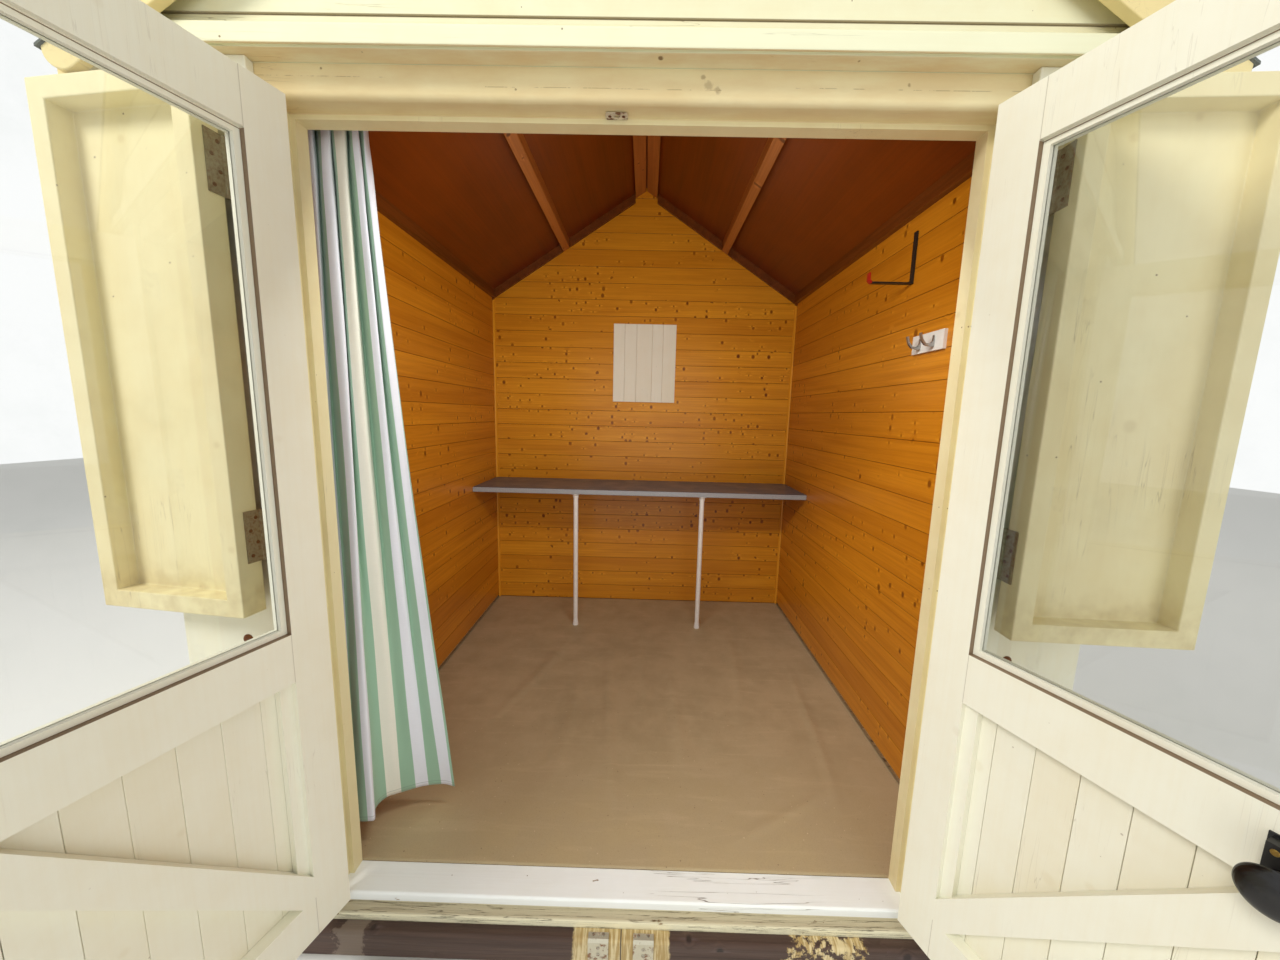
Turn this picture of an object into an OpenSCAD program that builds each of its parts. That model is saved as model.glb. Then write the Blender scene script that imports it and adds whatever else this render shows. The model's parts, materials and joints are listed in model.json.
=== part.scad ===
// Seaside beach hut: timber walls under a pitched felt roof, a pair of
// half-glazed doors that open outwards, and a storm shutter each side.
// Origin: ground level under the middle of the hut. +Z is up, the doors
// face -Y and +X is to the right of someone looking in.

/* [Room] */
// Clear width between the side linings
room_w = 1840; // [1500:10:2400]
// Clear depth from the front lining to the back lining
room_d = 1797; // [1400:1:2600]
// Height from the floor to the ceiling at the side walls
eaves_h = 1935; // [1925:5:2200]
// Slope of the roof in degrees
roof_pitch = 33; // [28:1:38]

/* [Walls] */
// Depth of the wall studs
stud_t = 50; // [38:1:75]
// Thickness of the outside boards
clad_t = 20; // [12:1:25]
// Thickness of the inside boards
lining_t = 12; // [9:1:16]
// Thickness of the boards planted on the outside corners
corner_t = 20; // [15:1:30]
// How far the front corner boards stand past the side walls
corner_lap = 10; // [5:1:25]
// Width of the back corner boards
rear_corner_w = 110; // [80:5:160]

/* [Base] */
// Height of the ground bearers
bearer_h = 80; // [60:5:120]
// Width of the ground bearers
bearer_w = 100; // [75:5:150]
// Height of the floor joists
joist_h = 75; // [60:5:120]
// Width of the floor joists
joist_w = 45; // [38:1:60]
// Number of floor joists
joist_count = 9; // [9:1:12]
// Thickness of the floor boards
deck_t = 22; // [18:1:30]
// Thickness of the loose-laid floor sheet
sheet_t = 3; // [2:0.5:5]

/* [Doorway] */
// Clear width between the door posts
doorway_w = 1450; // [1300:10:1460]
// Clear height from the sill to the head
doorway_h = 1818; // [1700:2:1820]
// Width of the door posts
post_w = 60; // [50:2:70]
// Height of the door head
head_h = 60; // [40:1:64]
// Thickness of the stop behind the doors
stop_t = 12; // [8:1:16]
// Radius of the rounded lower edge of the head
head_round = 12; // [6:1:18]
// Height of the sill nosing above its step
sill_nose_h = 26; // [20:1:35]
// Width of the sill step in front of the doorway
sill_step_w = 26; // [20:1:36]
// Thickness of the weathered board in front of the sill
outer_sill_t = 28; // [20:1:36]
// How far that board's top lies below the sill step
outer_sill_drop = 20; // [10:1:30]
// Height of the ledge over the doors
ledge_h = 45; // [35:1:60]
// How far the ledge stands out from the wall
ledge_out = 50; // [30:1:50]
// Fall of the ledge's top
ledge_fall = 8; // [4:1:14]

/* [Doors] */
// Thickness of the door frames
leaf_t = 42; // [36:1:48]
// Gap beside the hinges of each door
leaf_gap = 3; // [3:0.5:5]
// Half of the gap between the two doors when both are shut
meeting_gap = 3.5; // [3.5:0.5:6]
// Gap between the head and the top of the doors
leaf_top_gap = 9; // [6:1:14]
// Gap between the sill and the foot of the doors
leaf_foot_gap = 7; // [6:1:12]
// Width of the door stiles
stile_w = 80; // [65:1:100]
// Height of the top rail
top_rail_h = 100; // [80:2:130]
// Height of the lock rail
lock_rail_h = 108; // [80:2:140]
// Height of the lock rail's lower edge above the floor
lock_rail_z = 637; // [560:1:700]
// Height of the bottom rail
foot_rail_h = 103; // [80:1:150]
// Width of the diagonal brace
brace_w = 57; // [45:1:75]
// Distance from the hinge to the top of the brace
brace_top = 480; // [420:5:540]
// Thickness of the door boards
door_board_t = 15; // [12:1:20]
// Width of the moulding beside the hinge stile
mould_w = 26; // [18:1:35]
// Width of the glazing bead
bead_w = 12; // [9:1:16]
// Thickness of the glass
glass_t = 4; // [3:0.5:6]
// How far the glass sits in its groove
glass_lap = 8; // [6:1:10]
// How far the left door stands open
left_open = 107; // [90:1:120]
// How far the right door stands open
right_open = 110; // [90:1:120]

/* [Hinges] */
// Radius of the door hinge knuckles
knuckle_r = 6; // [5:0.5:7]
// Radius of the door hinge pins
pin_r = 3; // [2.5:0.25:3.5]
// Height of each door hinge
hinge_h = 100; // [75:5:125]
// Width of a door hinge leaf
hinge_leaf_w = 30; // [22:1:36]
// Thickness of a hinge leaf
hinge_leaf_t = 2.5; // [2:0.5:3]
// Distance of the end hinges from the foot and the top of each door
hinge_inset = 150; // [100:5:220]
// Radius of the shutter hinge knuckles
small_knuckle_r = 5; // [4:0.5:6]
// Height of each shutter hinge
small_hinge_h = 110; // [80:5:120]

/* [Lock] */
// Length of the lock case
lock_w = 248; // [180:2:250]
// Height of the lock case
lock_h = 92; // [80:2:110]
// Depth of the lock case
lock_t = 22; // [18:1:28]
// Height of the top of the lock case above the floor
lock_top_z = 714; // [680:2:720]
// Distance of the knob from the inner end of the case
knob_in = 24; // [24:1:40]
// Radius of the knob across its widest part
knob_r = 30; // [24:1:36]
// How far the knob stands off the lock case
knob_stand = 46; // [36:1:56]
// Radius of the knob's spindle
spindle_r = 5; // [4:0.5:6]

/* [Shutters] */
// Width of each shutter
shutter_w = 350; // [300:5:400]
// Height of each shutter
shutter_h = 1032; // [900:2:1034]
// Height of the foot of the shutters above the floor
shutter_z = 778; // [740:2:778]
// Depth of the shutter's rails
shutter_t = 50; // [40:2:60]
// Width of the front edge of the shutter's rails
shutter_rail = 38; // [18:1:44]
// Thickness of the shutter's panel
shutter_panel_t = 10; // [8:1:14]
// Height of the lower shutter hinge above the shutter's foot
shutter_hinge_low = 112; // [60:2:250]
// Distance of the upper shutter hinge below the shutter's top
shutter_hinge_drop = 200; // [60:5:300]
// How far the left shutter leans back past the wall
left_lean = 7.5; // [0:0.5:7.5]
// How far the right shutter leans back past the wall
right_lean = -3; // [-3:0.5:7.5]
// Width of the batten that carries the shutter hinges
batten_w = 30; // [24:1:36]
// How far that batten stands out from the corner board
batten_out = 27; // [24:1:36]

/* [Roof] */
// Thickness of the roof boards
roof_t = 18; // [12:1:25]
// Thickness of the roof felt
felt_t = 4; // [3:0.5:6]
// Overhang at the eaves
eaves_out = 60; // [50:2:90]
// Gap from the front wall to the front bargeboards
front_out = 52; // [52:1:70]
// Overhang at the back wall
back_out = 60; // [40:2:100]
// Thickness of the bargeboards and fascias
barge_t = 20; // [16:1:25]
// How far the bargeboards hang below the roof boards
barge_hang = 46; // [36:1:50]
// Radius of the rounded foot of the bargeboards
barge_round = 36; // [20:1:45]
// How far the fascias hang below the roof boards
fascia_hang = 30; // [20:2:30]
// Width of the purlins
purlin_w = 42; // [30:1:60]
// Depth of the purlins
purlin_h = 40; // [30:1:60]
// Distance of each purlin from the middle of the room
purlin_x = 471; // [380:5:560]
// Width of the boards each side of the ridge
ridge_board_w = 60; // [40:2:80]
// Thickness of the ridge boards
ridge_board_t = 18; // [12:1:25]
// Width of the mouldings under the ceiling
moulding_w = 40; // [25:1:50]
// Thickness of the mouldings under the ceiling
moulding_t = 18; // [12:1:25]
// Radius of the quarter beads in the room's corners
corner_bead_r = 12; // [8:1:20]
// Width of the fillet under the front of the roof
fillet_w = 30; // [20:1:40]
// Thickness of that fillet
fillet_t = 16; // [12:1:20]
// Height of the batten on the gable above the ledge
gable_batten_h = 50; // [40:1:70]

/* [Fixtures] */
// Height of the worktop above the floor
worktop_z = 800; // [700:5:900]
// Depth of the worktop
worktop_d = 410; // [300:5:500]
// Thickness of the worktop
worktop_t = 28; // [18:1:38]
// Radius of the worktop legs
leg_r = 13; // [10:1:20]
// Distance of each leg from the middle of the room
leg_x = 352; // [300:5:450]
// Distance of the legs behind the worktop's front edge
leg_back = 28; // [25:1:60]
// Width of the plaque
plaque_w = 382; // [300:2:420]
// Height of the plaque
plaque_h = 467; // [400:2:500]
// Thickness of the plaque
plaque_t = 12; // [9:1:18]
// Height of the plaque's lower edge above the floor
plaque_z = 1293; // [1150:5:1300]
// Height of the curtain wire above the floor
wire_z = 1880; // [1860:5:1900]
// Radius of the curtain wire
wire_r = 3; // [2:0.5:4]
// Distance of the curtain wire behind the front lining
wire_back = 60; // [45:5:80]
// Width of the gathered curtain at the wire
curtain_top_w = 140; // [120:5:200]
// Width of the curtain at its hem
curtain_hem_w = 274; // [200:2:290]
// Thickness of the gathered curtain at the wire
curtain_top_t = 60; // [50:5:80]
// Thickness of the curtain at its hem
curtain_hem_t = 150; // [80:5:160]
// Height of the curtain's hem above the floor
curtain_z = 62; // [30:2:100]
// Distance of the storage bracket behind the front lining
bracket_back = 565; // [450:5:900]
// Height of the storage bracket above the floor
bracket_rise = 1675; // [1500:5:1685]
// Length of the storage bracket's arm
bracket_arm = 150; // [100:5:200]
// Height of the storage bracket's wall leg
bracket_h = 168; // [120:2:200]
// Width of the storage bracket's bar
bracket_w = 18; // [12:1:24]
// Thickness of the storage bracket's bar
bracket_t = 5; // [4:0.5:8]
// Distance of the coat hook board behind the front lining
hook_board_back = 345; // [200:5:370]
// Height of the coat hook board above the floor
hook_board_rise = 1434; // [1200:2:1550]
// Length of the coat hook board
hook_board_w = 160; // [120:5:240]
// Height of the coat hook board
hook_board_h = 58; // [45:1:75]

/* [Hidden] */
$fn = 48;

white = [0.93, 0.91, 0.82];
honey = [0.80, 0.52, 0.20];
redwood = [0.34, 0.13, 0.07];
weathered = [0.30, 0.24, 0.23];

// Clearances
seat = 0.3;
run = 0.4;
film = 0.05;

// Plan
wall_t = stud_t + clad_t + lining_t;
core_t = stud_t + clad_t;
in_x = room_w / 2;
in_y = room_d / 2;
core_x = in_x + lining_t;
core_y = in_y + lining_t;
out_x = in_x + wall_t;
out_y = in_y + wall_t;
board_x = out_x + corner_lap;
board_y = out_y + corner_t;

// Heights
joist_z = bearer_h + joist_h;
deck_z = joist_z + deck_t;
floor_z = deck_z + sheet_t;
slope = tan(roof_pitch);
rise = 1 / cos(roof_pitch);
ridge_z = floor_z + eaves_h + in_x * slope;
head_z = floor_z + doorway_h;
ledge_z = head_z + head_h;
step_z = deck_z - sill_nose_h;

// Doors
pin_out = knuckle_r;
post_x = doorway_w / 2;
pin_x = post_x - leaf_gap;
pin_y = -(out_y + pin_out);
leaf_w = pin_x - leaf_gap - meeting_gap;
leaf_z0 = deck_z + leaf_foot_gap;
leaf_z1 = head_z - leaf_top_gap;
leaf_r1 = leaf_gap + leaf_w;
panel_z0 = floor_z + foot_rail_h;
panel_z1 = floor_z + lock_rail_z;
glass_z0 = panel_z1 + lock_rail_h;
glass_z1 = leaf_z1 - top_rail_h;
panel_r0 = leaf_gap + stile_w;
panel_r1 = leaf_r1 - stile_w;
stop_y = pin_y + pin_out + leaf_t + 5;
hinge_zs = [leaf_z0 + hinge_inset, (leaf_z0 + leaf_z1) / 2, leaf_z1 - hinge_inset];
knuckles = 5;
knuckle_h = hinge_h / knuckles;

// Lock and knob
lock_r1 = leaf_r1 - 5;
lock_r0 = lock_r1 - lock_w;
lock_z = floor_z + lock_top_z - lock_h;
knob_r_pos = lock_r0 + knob_in;
knob_z = lock_z + lock_h / 2;

// Shutters
batten_x0 = post_x + 27;
batten_x1 = batten_x0 + batten_w;
shutter_x = batten_x1 + small_knuckle_r + seat;
shutter_pin_y = -(board_y + batten_out);
shutter_back = small_knuckle_r + seat;
shutter_side = 1;
shutter_foot = floor_z + shutter_z;
shutter_hinge_zs = [shutter_foot + shutter_hinge_low, shutter_foot + shutter_h - shutter_hinge_drop];

// Roof
eave_x = out_x + eaves_out;
roof_y0 = -(out_y + front_out);
roof_y1 = out_y + back_out;
roof_rise = roof_t * rise;
felt_rise = (roof_t + felt_t) * rise;

// Height of the roof boards' underside at a distance from the middle
function ceiling_z(x) = ridge_z - x * slope;

// A profile drawn in Y and Z, run along X between x0 and x1
module along_x(x0, x1) {
    translate([x0, 0, 0])
        rotate([90, 0, 90])
            linear_extrude(height = x1 - x0)
                children();
}

// A profile drawn in X and Z, run along Y between y0 and y1
module along_y(y0, y1) {
    translate([0, y1, 0])
        rotate([90, 0, 0])
            linear_extrude(height = y1 - y0)
                children();
}

// A box between two opposite corners
module block(a, b) {
    translate(a)
        cube(b - a);
}

// The same thing on both sides of the hut
module both_sides() {
    children();
    mirror([1, 0, 0])
        children();
}

// Outline of a wall from z0 up to the roof between two distances from the middle
module rake_outline(x0, x1, z0) {
    polygon([[x0, z0], [x1, z0], [x1, ceiling_z(x1)], [x0, ceiling_z(x0)]]);
}

// Outline of a gable that reaches the same distance both ways
module gable_outline(x, z0) {
    polygon([[-x, z0], [x, z0], [x, ceiling_z(x)], [0, ridge_z], [-x, ceiling_z(x)]]);
}

// A strip that follows the right-hand slope, from a to b below the roof boards
module slope_strip(x0, x1, a, b) {
    polygon([
        [x0, ceiling_z(x0) - a * rise], [x0, ceiling_z(x0) - b * rise],
        [x1, ceiling_z(x1) - b * rise], [x1, ceiling_z(x1) - a * rise]
    ]);
}

module floor_frame() {
    color(weathered) {
        for (x = [-1, 0, 1])
            translate([x * (out_x - bearer_w / 2) - bearer_w / 2, -out_y, 0])
                cube([bearer_w, 2 * out_y, bearer_h]);
        step = (2 * out_x - joist_w) / (joist_count - 1);
        for (i = [0:joist_count - 1])
            translate([-out_x + i * step, -in_y, bearer_h])
                cube([joist_w, in_y + out_y - joist_w, joist_h]);
        translate([-out_x, out_y - joist_w, bearer_h])
            cube([2 * out_x, joist_w, joist_h]);
    }
}

module floor_deck() {
    color("burlywood")
        block([-out_x, -in_y, joist_z], [out_x, out_y, deck_z]);
}

module floor_sheet() {
    color([0.62, 0.54, 0.42])
        block([-in_x + seat, -in_y, deck_z], [in_x - seat, in_y - seat, floor_z]);
}

// Front beam of the base: a stepped sill with eased edges and a drip groove
module door_sill() {
    ease = 4;
    color(white)
        along_x(-board_x, board_x)
            polygon([
                [-in_y, bearer_h], [-in_y, deck_z],
                [-out_y + ease, deck_z], [-out_y, deck_z - ease],
                [-out_y, step_z],
                [-out_y - sill_step_w + ease, step_z], [-out_y - sill_step_w, step_z - ease],
                [-out_y - sill_step_w, bearer_h]
            ]);
}

// Weathered board in front of the sill, its top worn to a slope
module outer_sill() {
    y0 = -out_y - sill_step_w;
    z1 = step_z - outer_sill_drop;
    wear = 5;
    color(weathered)
        along_x(-board_x, board_x)
            polygon([
                [y0, bearer_h - 20], [y0, z1],
                [y0 - outer_sill_t + wear, z1 - 2], [y0 - outer_sill_t, z1 - 2 - wear],
                [y0 - outer_sill_t, bearer_h - 20]
            ]);
}

// Two galvanised straps folded over the weathered board
module sill_straps() {
    y0 = -out_y - sill_step_w;
    y1 = y0 - outer_sill_t;
    z1 = step_z - outer_sill_drop - 2;
    t = 2;
    drop = 52;
    color("silver")
        for (x = [-55, 55])
            along_x(x - 25, x + 25)
                polygon([
                    [y1 - seat, z1 - 4], [y1 - seat, z1 - drop],
                    [y1 - seat - t, z1 - drop], [y1 - seat - t, z1 - 3],
                    [y1 + 5 - t, z1 + t + 1], [y0 - 12, z1 + t + 3],
                    [y0 - 12, z1 + 3], [y1 + 5, z1 + 1]
                ]);
}

module side_wall() {
    color(white)
        along_y(-out_y, out_y)
            rake_outline(core_x, out_x, deck_z);
}

module right_wall() {
    side_wall();
}

module left_wall() {
    mirror([1, 0, 0])
        side_wall();
}

module back_wall() {
    color(white)
        along_y(core_y, out_y)
            gable_outline(core_x, deck_z);
}

module front_wall() {
    color(white)
        block([post_x + post_w, -out_y, deck_z], [core_x, -core_y, ledge_z]);
}

module front_wall_right() {
    front_wall();
}

module front_wall_left() {
    mirror([1, 0, 0])
        front_wall();
}

// Gable over the doors, with a batten along its foot and a fillet under the roof
module front_gable() {
    batten_z = ledge_z + ledge_h;
    batten_t = fillet_t - 6;
    color(white) {
        along_y(-out_y, -core_y)
            gable_outline(core_x, ledge_z);
        along_y(-out_y - batten_t, -out_y)
            intersection() {
                gable_outline(core_x, ledge_z);
                translate([-core_x, batten_z])
                    square([2 * core_x, gable_batten_h]);
            }
        along_y(-out_y - fillet_t, -out_y)
            both_sides()
                intersection() {
                    slope_strip(0, core_x, 0, fillet_w);
                    translate([0, batten_z])
                        square([core_x, ridge_z]);
                }
    }
}

module side_linings() {
    color(honey)
        both_sides()
            along_y(-in_y, in_y)
                rake_outline(in_x, core_x, deck_z);
}

module back_lining() {
    color(honey)
        along_y(in_y, core_y)
            gable_outline(core_x, deck_z);
}

module front_lining() {
    color(honey)
        along_y(-core_y, -in_y)
            difference() {
                gable_outline(core_x, deck_z);
                translate([-post_x - post_w, deck_z - 1])
                    square([doorway_w + 2 * post_w, ledge_z - deck_z + 1]);
            }
}

// Corner boards with the batten that carries the shutter hinges
module front_boards() {
    color(white)
        both_sides() {
            along_y(-board_y, -out_y)
                intersection() {
                    rake_outline(batten_x0, board_x, step_z);
                    translate([batten_x0, step_z])
                        square([board_x, ledge_z - step_z]);
                }
            block([batten_x0, -board_y - batten_out, step_z], [batten_x1, -board_y, shutter_foot + shutter_h]);
        }
}

module rear_corner_boards() {
    color(white)
        both_sides()
            difference() {
                along_y(out_y - rear_corner_w, out_y + corner_t)
                    rake_outline(out_x - rear_corner_w, out_x + corner_t, joist_z - 20);
                block([0, 0, 0], [out_x, out_y, ridge_z]);
            }
}

// Head of the doorway, with a rounded lower edge and the stop behind the doors
module head_profile() {
    r = head_round;
    polygon(concat(
        [[-in_y, head_z - stop_t], [-in_y, ledge_z], [-out_y, ledge_z]],
        [for (a = [0:15:90]) [-out_y + r - r * cos(a), head_z + r - r * sin(a)]],
        [[stop_y, head_z], [stop_y, head_z - stop_t]]
    ));
}

module door_frame() {
    color(white) {
        along_x(-post_x - post_w, post_x + post_w)
            head_profile();
        both_sides() {
            block([post_x, -out_y, deck_z], [post_x + post_w, -in_y, head_z]);
            block([post_x - stop_t, stop_y, deck_z], [post_x, -in_y, head_z]);
        }
    }
}

// Ledge that throws the rain clear of the doors, its ends cut to the roof slope
module weather_ledge() {
    ease = 4;
    groove = 6;
    y1 = -out_y - ledge_out;
    color(white)
        intersection() {
            along_x(-board_x, board_x)
                polygon([
                    [-out_y, ledge_z], [-out_y, ledge_z + ledge_h],
                    [y1 + ease, ledge_z + ledge_h - ledge_fall], [y1, ledge_z + ledge_h - ledge_fall - ease],
                    [y1, ledge_z],
                    [y1 + groove, ledge_z], [y1 + groove, ledge_z + groove],
                    [y1 + 2 * groove, ledge_z + groove], [y1 + 2 * groove, ledge_z]
                ]);
            along_y(y1 - 1, -out_y + 1)
                gable_outline(board_x, ledge_z - 1);
        }
}

module roof_side() {
    color(redwood)
        along_y(roof_y0, roof_y1)
            polygon([
                [0, ridge_z + film], [eave_x, ceiling_z(eave_x) + film],
                [eave_x, ceiling_z(eave_x) + roof_rise - film], [0, ridge_z + roof_rise - film]
            ]);
}

module right_roof() {
    roof_side();
}

module left_roof() {
    mirror([1, 0, 0])
        roof_side();
}

// Felt over both slopes, with a capping strip along the ridge
module roof_felt() {
    cap_x = 150;
    edge = eave_x + barge_t + 6;
    color([0.25, 0.27, 0.26])
        along_y(roof_y0 - barge_t - 4, roof_y1 + barge_t + 4) {
            polygon([
                [0, ridge_z + roof_rise],
                [edge, ceiling_z(edge) + roof_rise], [edge, ceiling_z(edge) + felt_rise],
                [cap_x, ceiling_z(cap_x) + felt_rise],
                [cap_x, ceiling_z(cap_x) + felt_rise + felt_t], [0, ridge_z + felt_rise + felt_t],
                [-cap_x, ceiling_z(cap_x) + felt_rise + felt_t],
                [-cap_x, ceiling_z(cap_x) + felt_rise],
                [-edge, ceiling_z(edge) + felt_rise], [-edge, ceiling_z(edge) + roof_rise]
            ]);
        }
}

// Purlins halfway up each slope and a board each side of the ridge
module purlins() {
    half = purlin_w / 2 * cos(roof_pitch);
    color("sienna")
        both_sides()
            along_y(-in_y, in_y) {
                slope_strip(purlin_x - half, purlin_x + half, 0, purlin_h);
                slope_strip(3, 3 + ridge_board_w, 0, ridge_board_t);
            }
}

// Mouldings round the ceiling and quarter beads in the corners of the room
module ceiling_trim() {
    low = floor_z + eaves_h;
    ridge_x = 3 + ridge_board_w + 2;
    half = purlin_w / 2 * cos(roof_pitch) + 2;
    color(redwood)
        both_sides() {
            for (y = [[-in_y, -in_y + moulding_t], [in_y - moulding_t, in_y]])
                along_y(y[0], y[1])
                    difference() {
                        slope_strip(ridge_x, in_x, 0, moulding_w);
                        slope_strip(purlin_x - half, purlin_x + half, -1, moulding_w + 1);
                    }
            along_y(-in_y, in_y)
                polygon([
                    [in_x, low], [in_x, low - moulding_w],
                    [in_x - moulding_t, low - moulding_w + 4], [in_x - moulding_t, ceiling_z(in_x - moulding_t)]
                ]);
            mirror([0, 1, 0])
                corner_bead(floor_z, low);
            corner_bead(floor_z, floor_z + worktop_z - worktop_t);
            corner_bead(floor_z + worktop_z, low);
        }
}

// Quarter bead up a back corner of the room
module corner_bead(z0, z1) {
    r = corner_bead_r;
    translate([in_x, in_y, z0])
        linear_extrude(height = z1 - z0)
            intersection() {
                circle(r = r);
                translate([-r, -r])
                    square([r, r]);
            }
}

// Pair of bargeboards in one outline, each rounded at its foot
module barge_outline() {
    // The rounding stays below the top of the roof boards
    tallest = (barge_hang + roof_rise) / (slope * (1 + sin(roof_pitch)) + cos(roof_pitch));
    r = min(barge_round, 0.97 * tallest);
    foot_x = eave_x + barge_t;
    cx = foot_x - r;
    start = -90 - roof_pitch;
    cz = ceiling_z(cx + r * cos(start)) - barge_hang - r * sin(start);
    foot = [for (i = [0:9]) let (a = start * (1 - i / 9)) [cx + r * cos(a), cz + r * sin(a)]];
    top = roof_rise - film;
    half = concat(foot, [[foot_x, ceiling_z(foot_x) + top]]);
    last = len(half) - 1;
    polygon(concat(
        [[0, ridge_z - barge_hang]], half, [[0, ridge_z + top]],
        [for (i = [last:-1:0]) [-half[i][0], half[i][1]]]
    ));
}

// Bargeboards front and back, and a fascia along each eave
module roof_edge_boards() {
    color(white) {
        along_y(roof_y0 - barge_t, roof_y0)
            barge_outline();
        along_y(roof_y1, roof_y1 + barge_t)
            barge_outline();
        both_sides()
            along_y(roof_y0 + seat, roof_y1 - seat)
                polygon([
                    [eave_x, ceiling_z(eave_x) + roof_rise - film], [eave_x, ceiling_z(eave_x) - fascia_hang],
                    [eave_x + barge_t, ceiling_z(eave_x) - fascia_hang],
                    [eave_x + barge_t, ceiling_z(eave_x + barge_t) + roof_rise - film]
                ]);
    }
}

module worktop() {
    r = 4;
    z0 = floor_z + worktop_z - worktop_t;
    z1 = floor_z + worktop_z;
    y0 = in_y - worktop_d;
    color([0.42, 0.42, 0.43])
        along_x(-in_x + seat, in_x - seat)
            polygon(concat(
                [[in_y - seat, z0], [in_y - seat, z1]],
                [for (a = [90:30:180]) [y0 + r + r * cos(a), z1 - r + r * sin(a)]],
                [for (a = [180:30:270]) [y0 + r + r * cos(a), z0 + r + r * sin(a)]]
            ));
}

// Tubular legs, each with a fixing flange at the top and a plastic foot
module worktop_legs() {
    top = floor_z + worktop_z - worktop_t;
    flange_r = 2 * leg_r;
    color("white")
        for (x = [-leg_x, leg_x])
            translate([x, in_y - worktop_d + leg_back, 0])
                rotate_extrude()
                    polygon([
                        [0, floor_z], [leg_r + 4, floor_z], [leg_r + 4, floor_z + 6],
                        [leg_r + 1, floor_z + 30], [leg_r, floor_z + 30],
                        [leg_r, top - 22], [leg_r + 3, top - 20], [leg_r + 3, top - 4],
                        [flange_r, top - 3], [flange_r, top], [0, top]
                    ]);
}

// Planked plaque on the back wall, left bare
module plaque() {
    x0 = -plaque_w / 2 + 10;
    z0 = floor_z + plaque_z;
    color([0.86, 0.84, 0.78])
        block([x0, in_y - plaque_t, z0], [x0 + plaque_w, in_y, z0 + plaque_h]);
}

module curtain_wire() {
    eye_r = 9;
    y = -in_y + wire_back;
    z = floor_z + wire_z;
    color("gainsboro") {
        translate([-in_x, y, z])
            rotate([0, 90, 0])
                cylinder(h = 2 * in_x, r = wire_r);
        for (x = [-in_x, in_x - 4])
            translate([x, y, z])
                rotate([0, 90, 0])
                    cylinder(h = 4, r = eye_r);
    }
}

// Plain solid for the curtain drawn back beside the left post
module curtain() {
    x0 = -post_x - 46;
    y0 = -in_y + wire_back;
    z1 = floor_z + wire_z - wire_r - seat;
    z0 = floor_z + curtain_z;
    color([0.66, 0.76, 0.68])
        hull() {
            block([x0, y0 - curtain_top_t / 2, z1 - 2], [x0 + curtain_top_w, y0 + curtain_top_t / 2, z1]);
            block([x0 - 24, y0 - curtain_top_t / 2, z0],
                [x0 - 24 + curtain_hem_w, y0 - curtain_top_t / 2 + curtain_hem_t, z0 + 2]);
        }
}

// Storage bracket and a board with two coat hooks on the right-hand wall
module wall_hooks() {
    bracket_y = -in_y + bracket_back;
    bracket_z = floor_z + bracket_rise;
    board_y0 = -in_y + hook_board_back;
    board_z = floor_z + hook_board_rise;
    color([0.1, 0.1, 0.1])
        along_y(bracket_y - bracket_w / 2, bracket_y + bracket_w / 2)
            polygon([
                [in_x, bracket_z], [in_x, bracket_z + bracket_h],
                [in_x - bracket_t, bracket_z + bracket_h], [in_x - bracket_t, bracket_z + 14],
                [in_x - 14, bracket_z + bracket_t],
                [in_x - bracket_arm + 12, bracket_z + bracket_t],
                [in_x - bracket_arm + bracket_t, bracket_z + 12],
                [in_x - bracket_arm + bracket_t, bracket_z + 34],
                [in_x - bracket_arm, bracket_z + 34], [in_x - bracket_arm, bracket_z + 9],
                [in_x - bracket_arm + 9, bracket_z], [in_x - 2, bracket_z]
            ]);
    color("white")
        block([in_x - 10, board_y0, board_z], [in_x, board_y0 + hook_board_w, board_z + hook_board_h]);
    color("silver")
        for (i = [0.28, 0.72])
            along_y(board_y0 + i * hook_board_w - 4, board_y0 + i * hook_board_w + 4)
                coat_hook_outline(in_x - 10, board_z + hook_board_h / 2);
}

// Side view of a coat hook that rises from x towards the room
module coat_hook_outline(x, z) {
    polygon([
        [x, z - 18], [x, z + 16], [x - 4, z + 16], [x - 5, z - 2], [x - 12, z - 9],
        [x - 26, z - 8], [x - 36, z + 4], [x - 42, z + 24], [x - 47, z + 22],
        [x - 41, z], [x - 29, z - 14], [x - 10, z - 18]
    ]);
}

// Shutter in its own frame: the pin is the Z axis, X runs to the free edge
// and the hollow side faces -Y
module shutter() {
    y0 = shutter_back;
    inner = shutter_t - shutter_panel_t;
    color(white)
        translate([0, -y0 - shutter_t, shutter_foot])
            difference() {
                translate([shutter_side, 0, 0])
                    cube([shutter_w - shutter_side, shutter_t, shutter_h]);
                translate([shutter_rail, -1, shutter_rail])
                    cube([shutter_w - 2 * shutter_rail, inner + 1, shutter_h - 2 * shutter_rail]);
            }
}

module right_shutter() {
    translate([shutter_x, shutter_pin_y, 0])
        rotate([0, 0, right_lean])
            shutter();
}

module left_shutter() {
    translate([-shutter_x, shutter_pin_y, 0])
        rotate([0, 0, -left_lean])
            mirror([1, 0, 0])
                shutter();
}

// Knuckle barrel with one leaf on the batten and one on the shutter's rail
module small_hinge(lean) {
    leaf = 30;
    t = hinge_leaf_t;
    linear_extrude(height = small_hinge_h) {
        circle(r = small_knuckle_r);
        translate([-small_knuckle_r - seat, 0])
            square([t, batten_out - 1]);
        rotate(lean)
            translate([shutter_side - t, -leaf - shutter_back])
                square([t, leaf + shutter_back + 1]);
    }
}

module shutter_hinges() {
    color([0.35, 0.25, 0.18])
        for (z = shutter_hinge_zs) {
            translate([shutter_x, shutter_pin_y, z])
                small_hinge(right_lean);
            mirror([1, 0, 0])
                translate([shutter_x, shutter_pin_y, z])
                    small_hinge(left_lean);
        }
}

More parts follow.
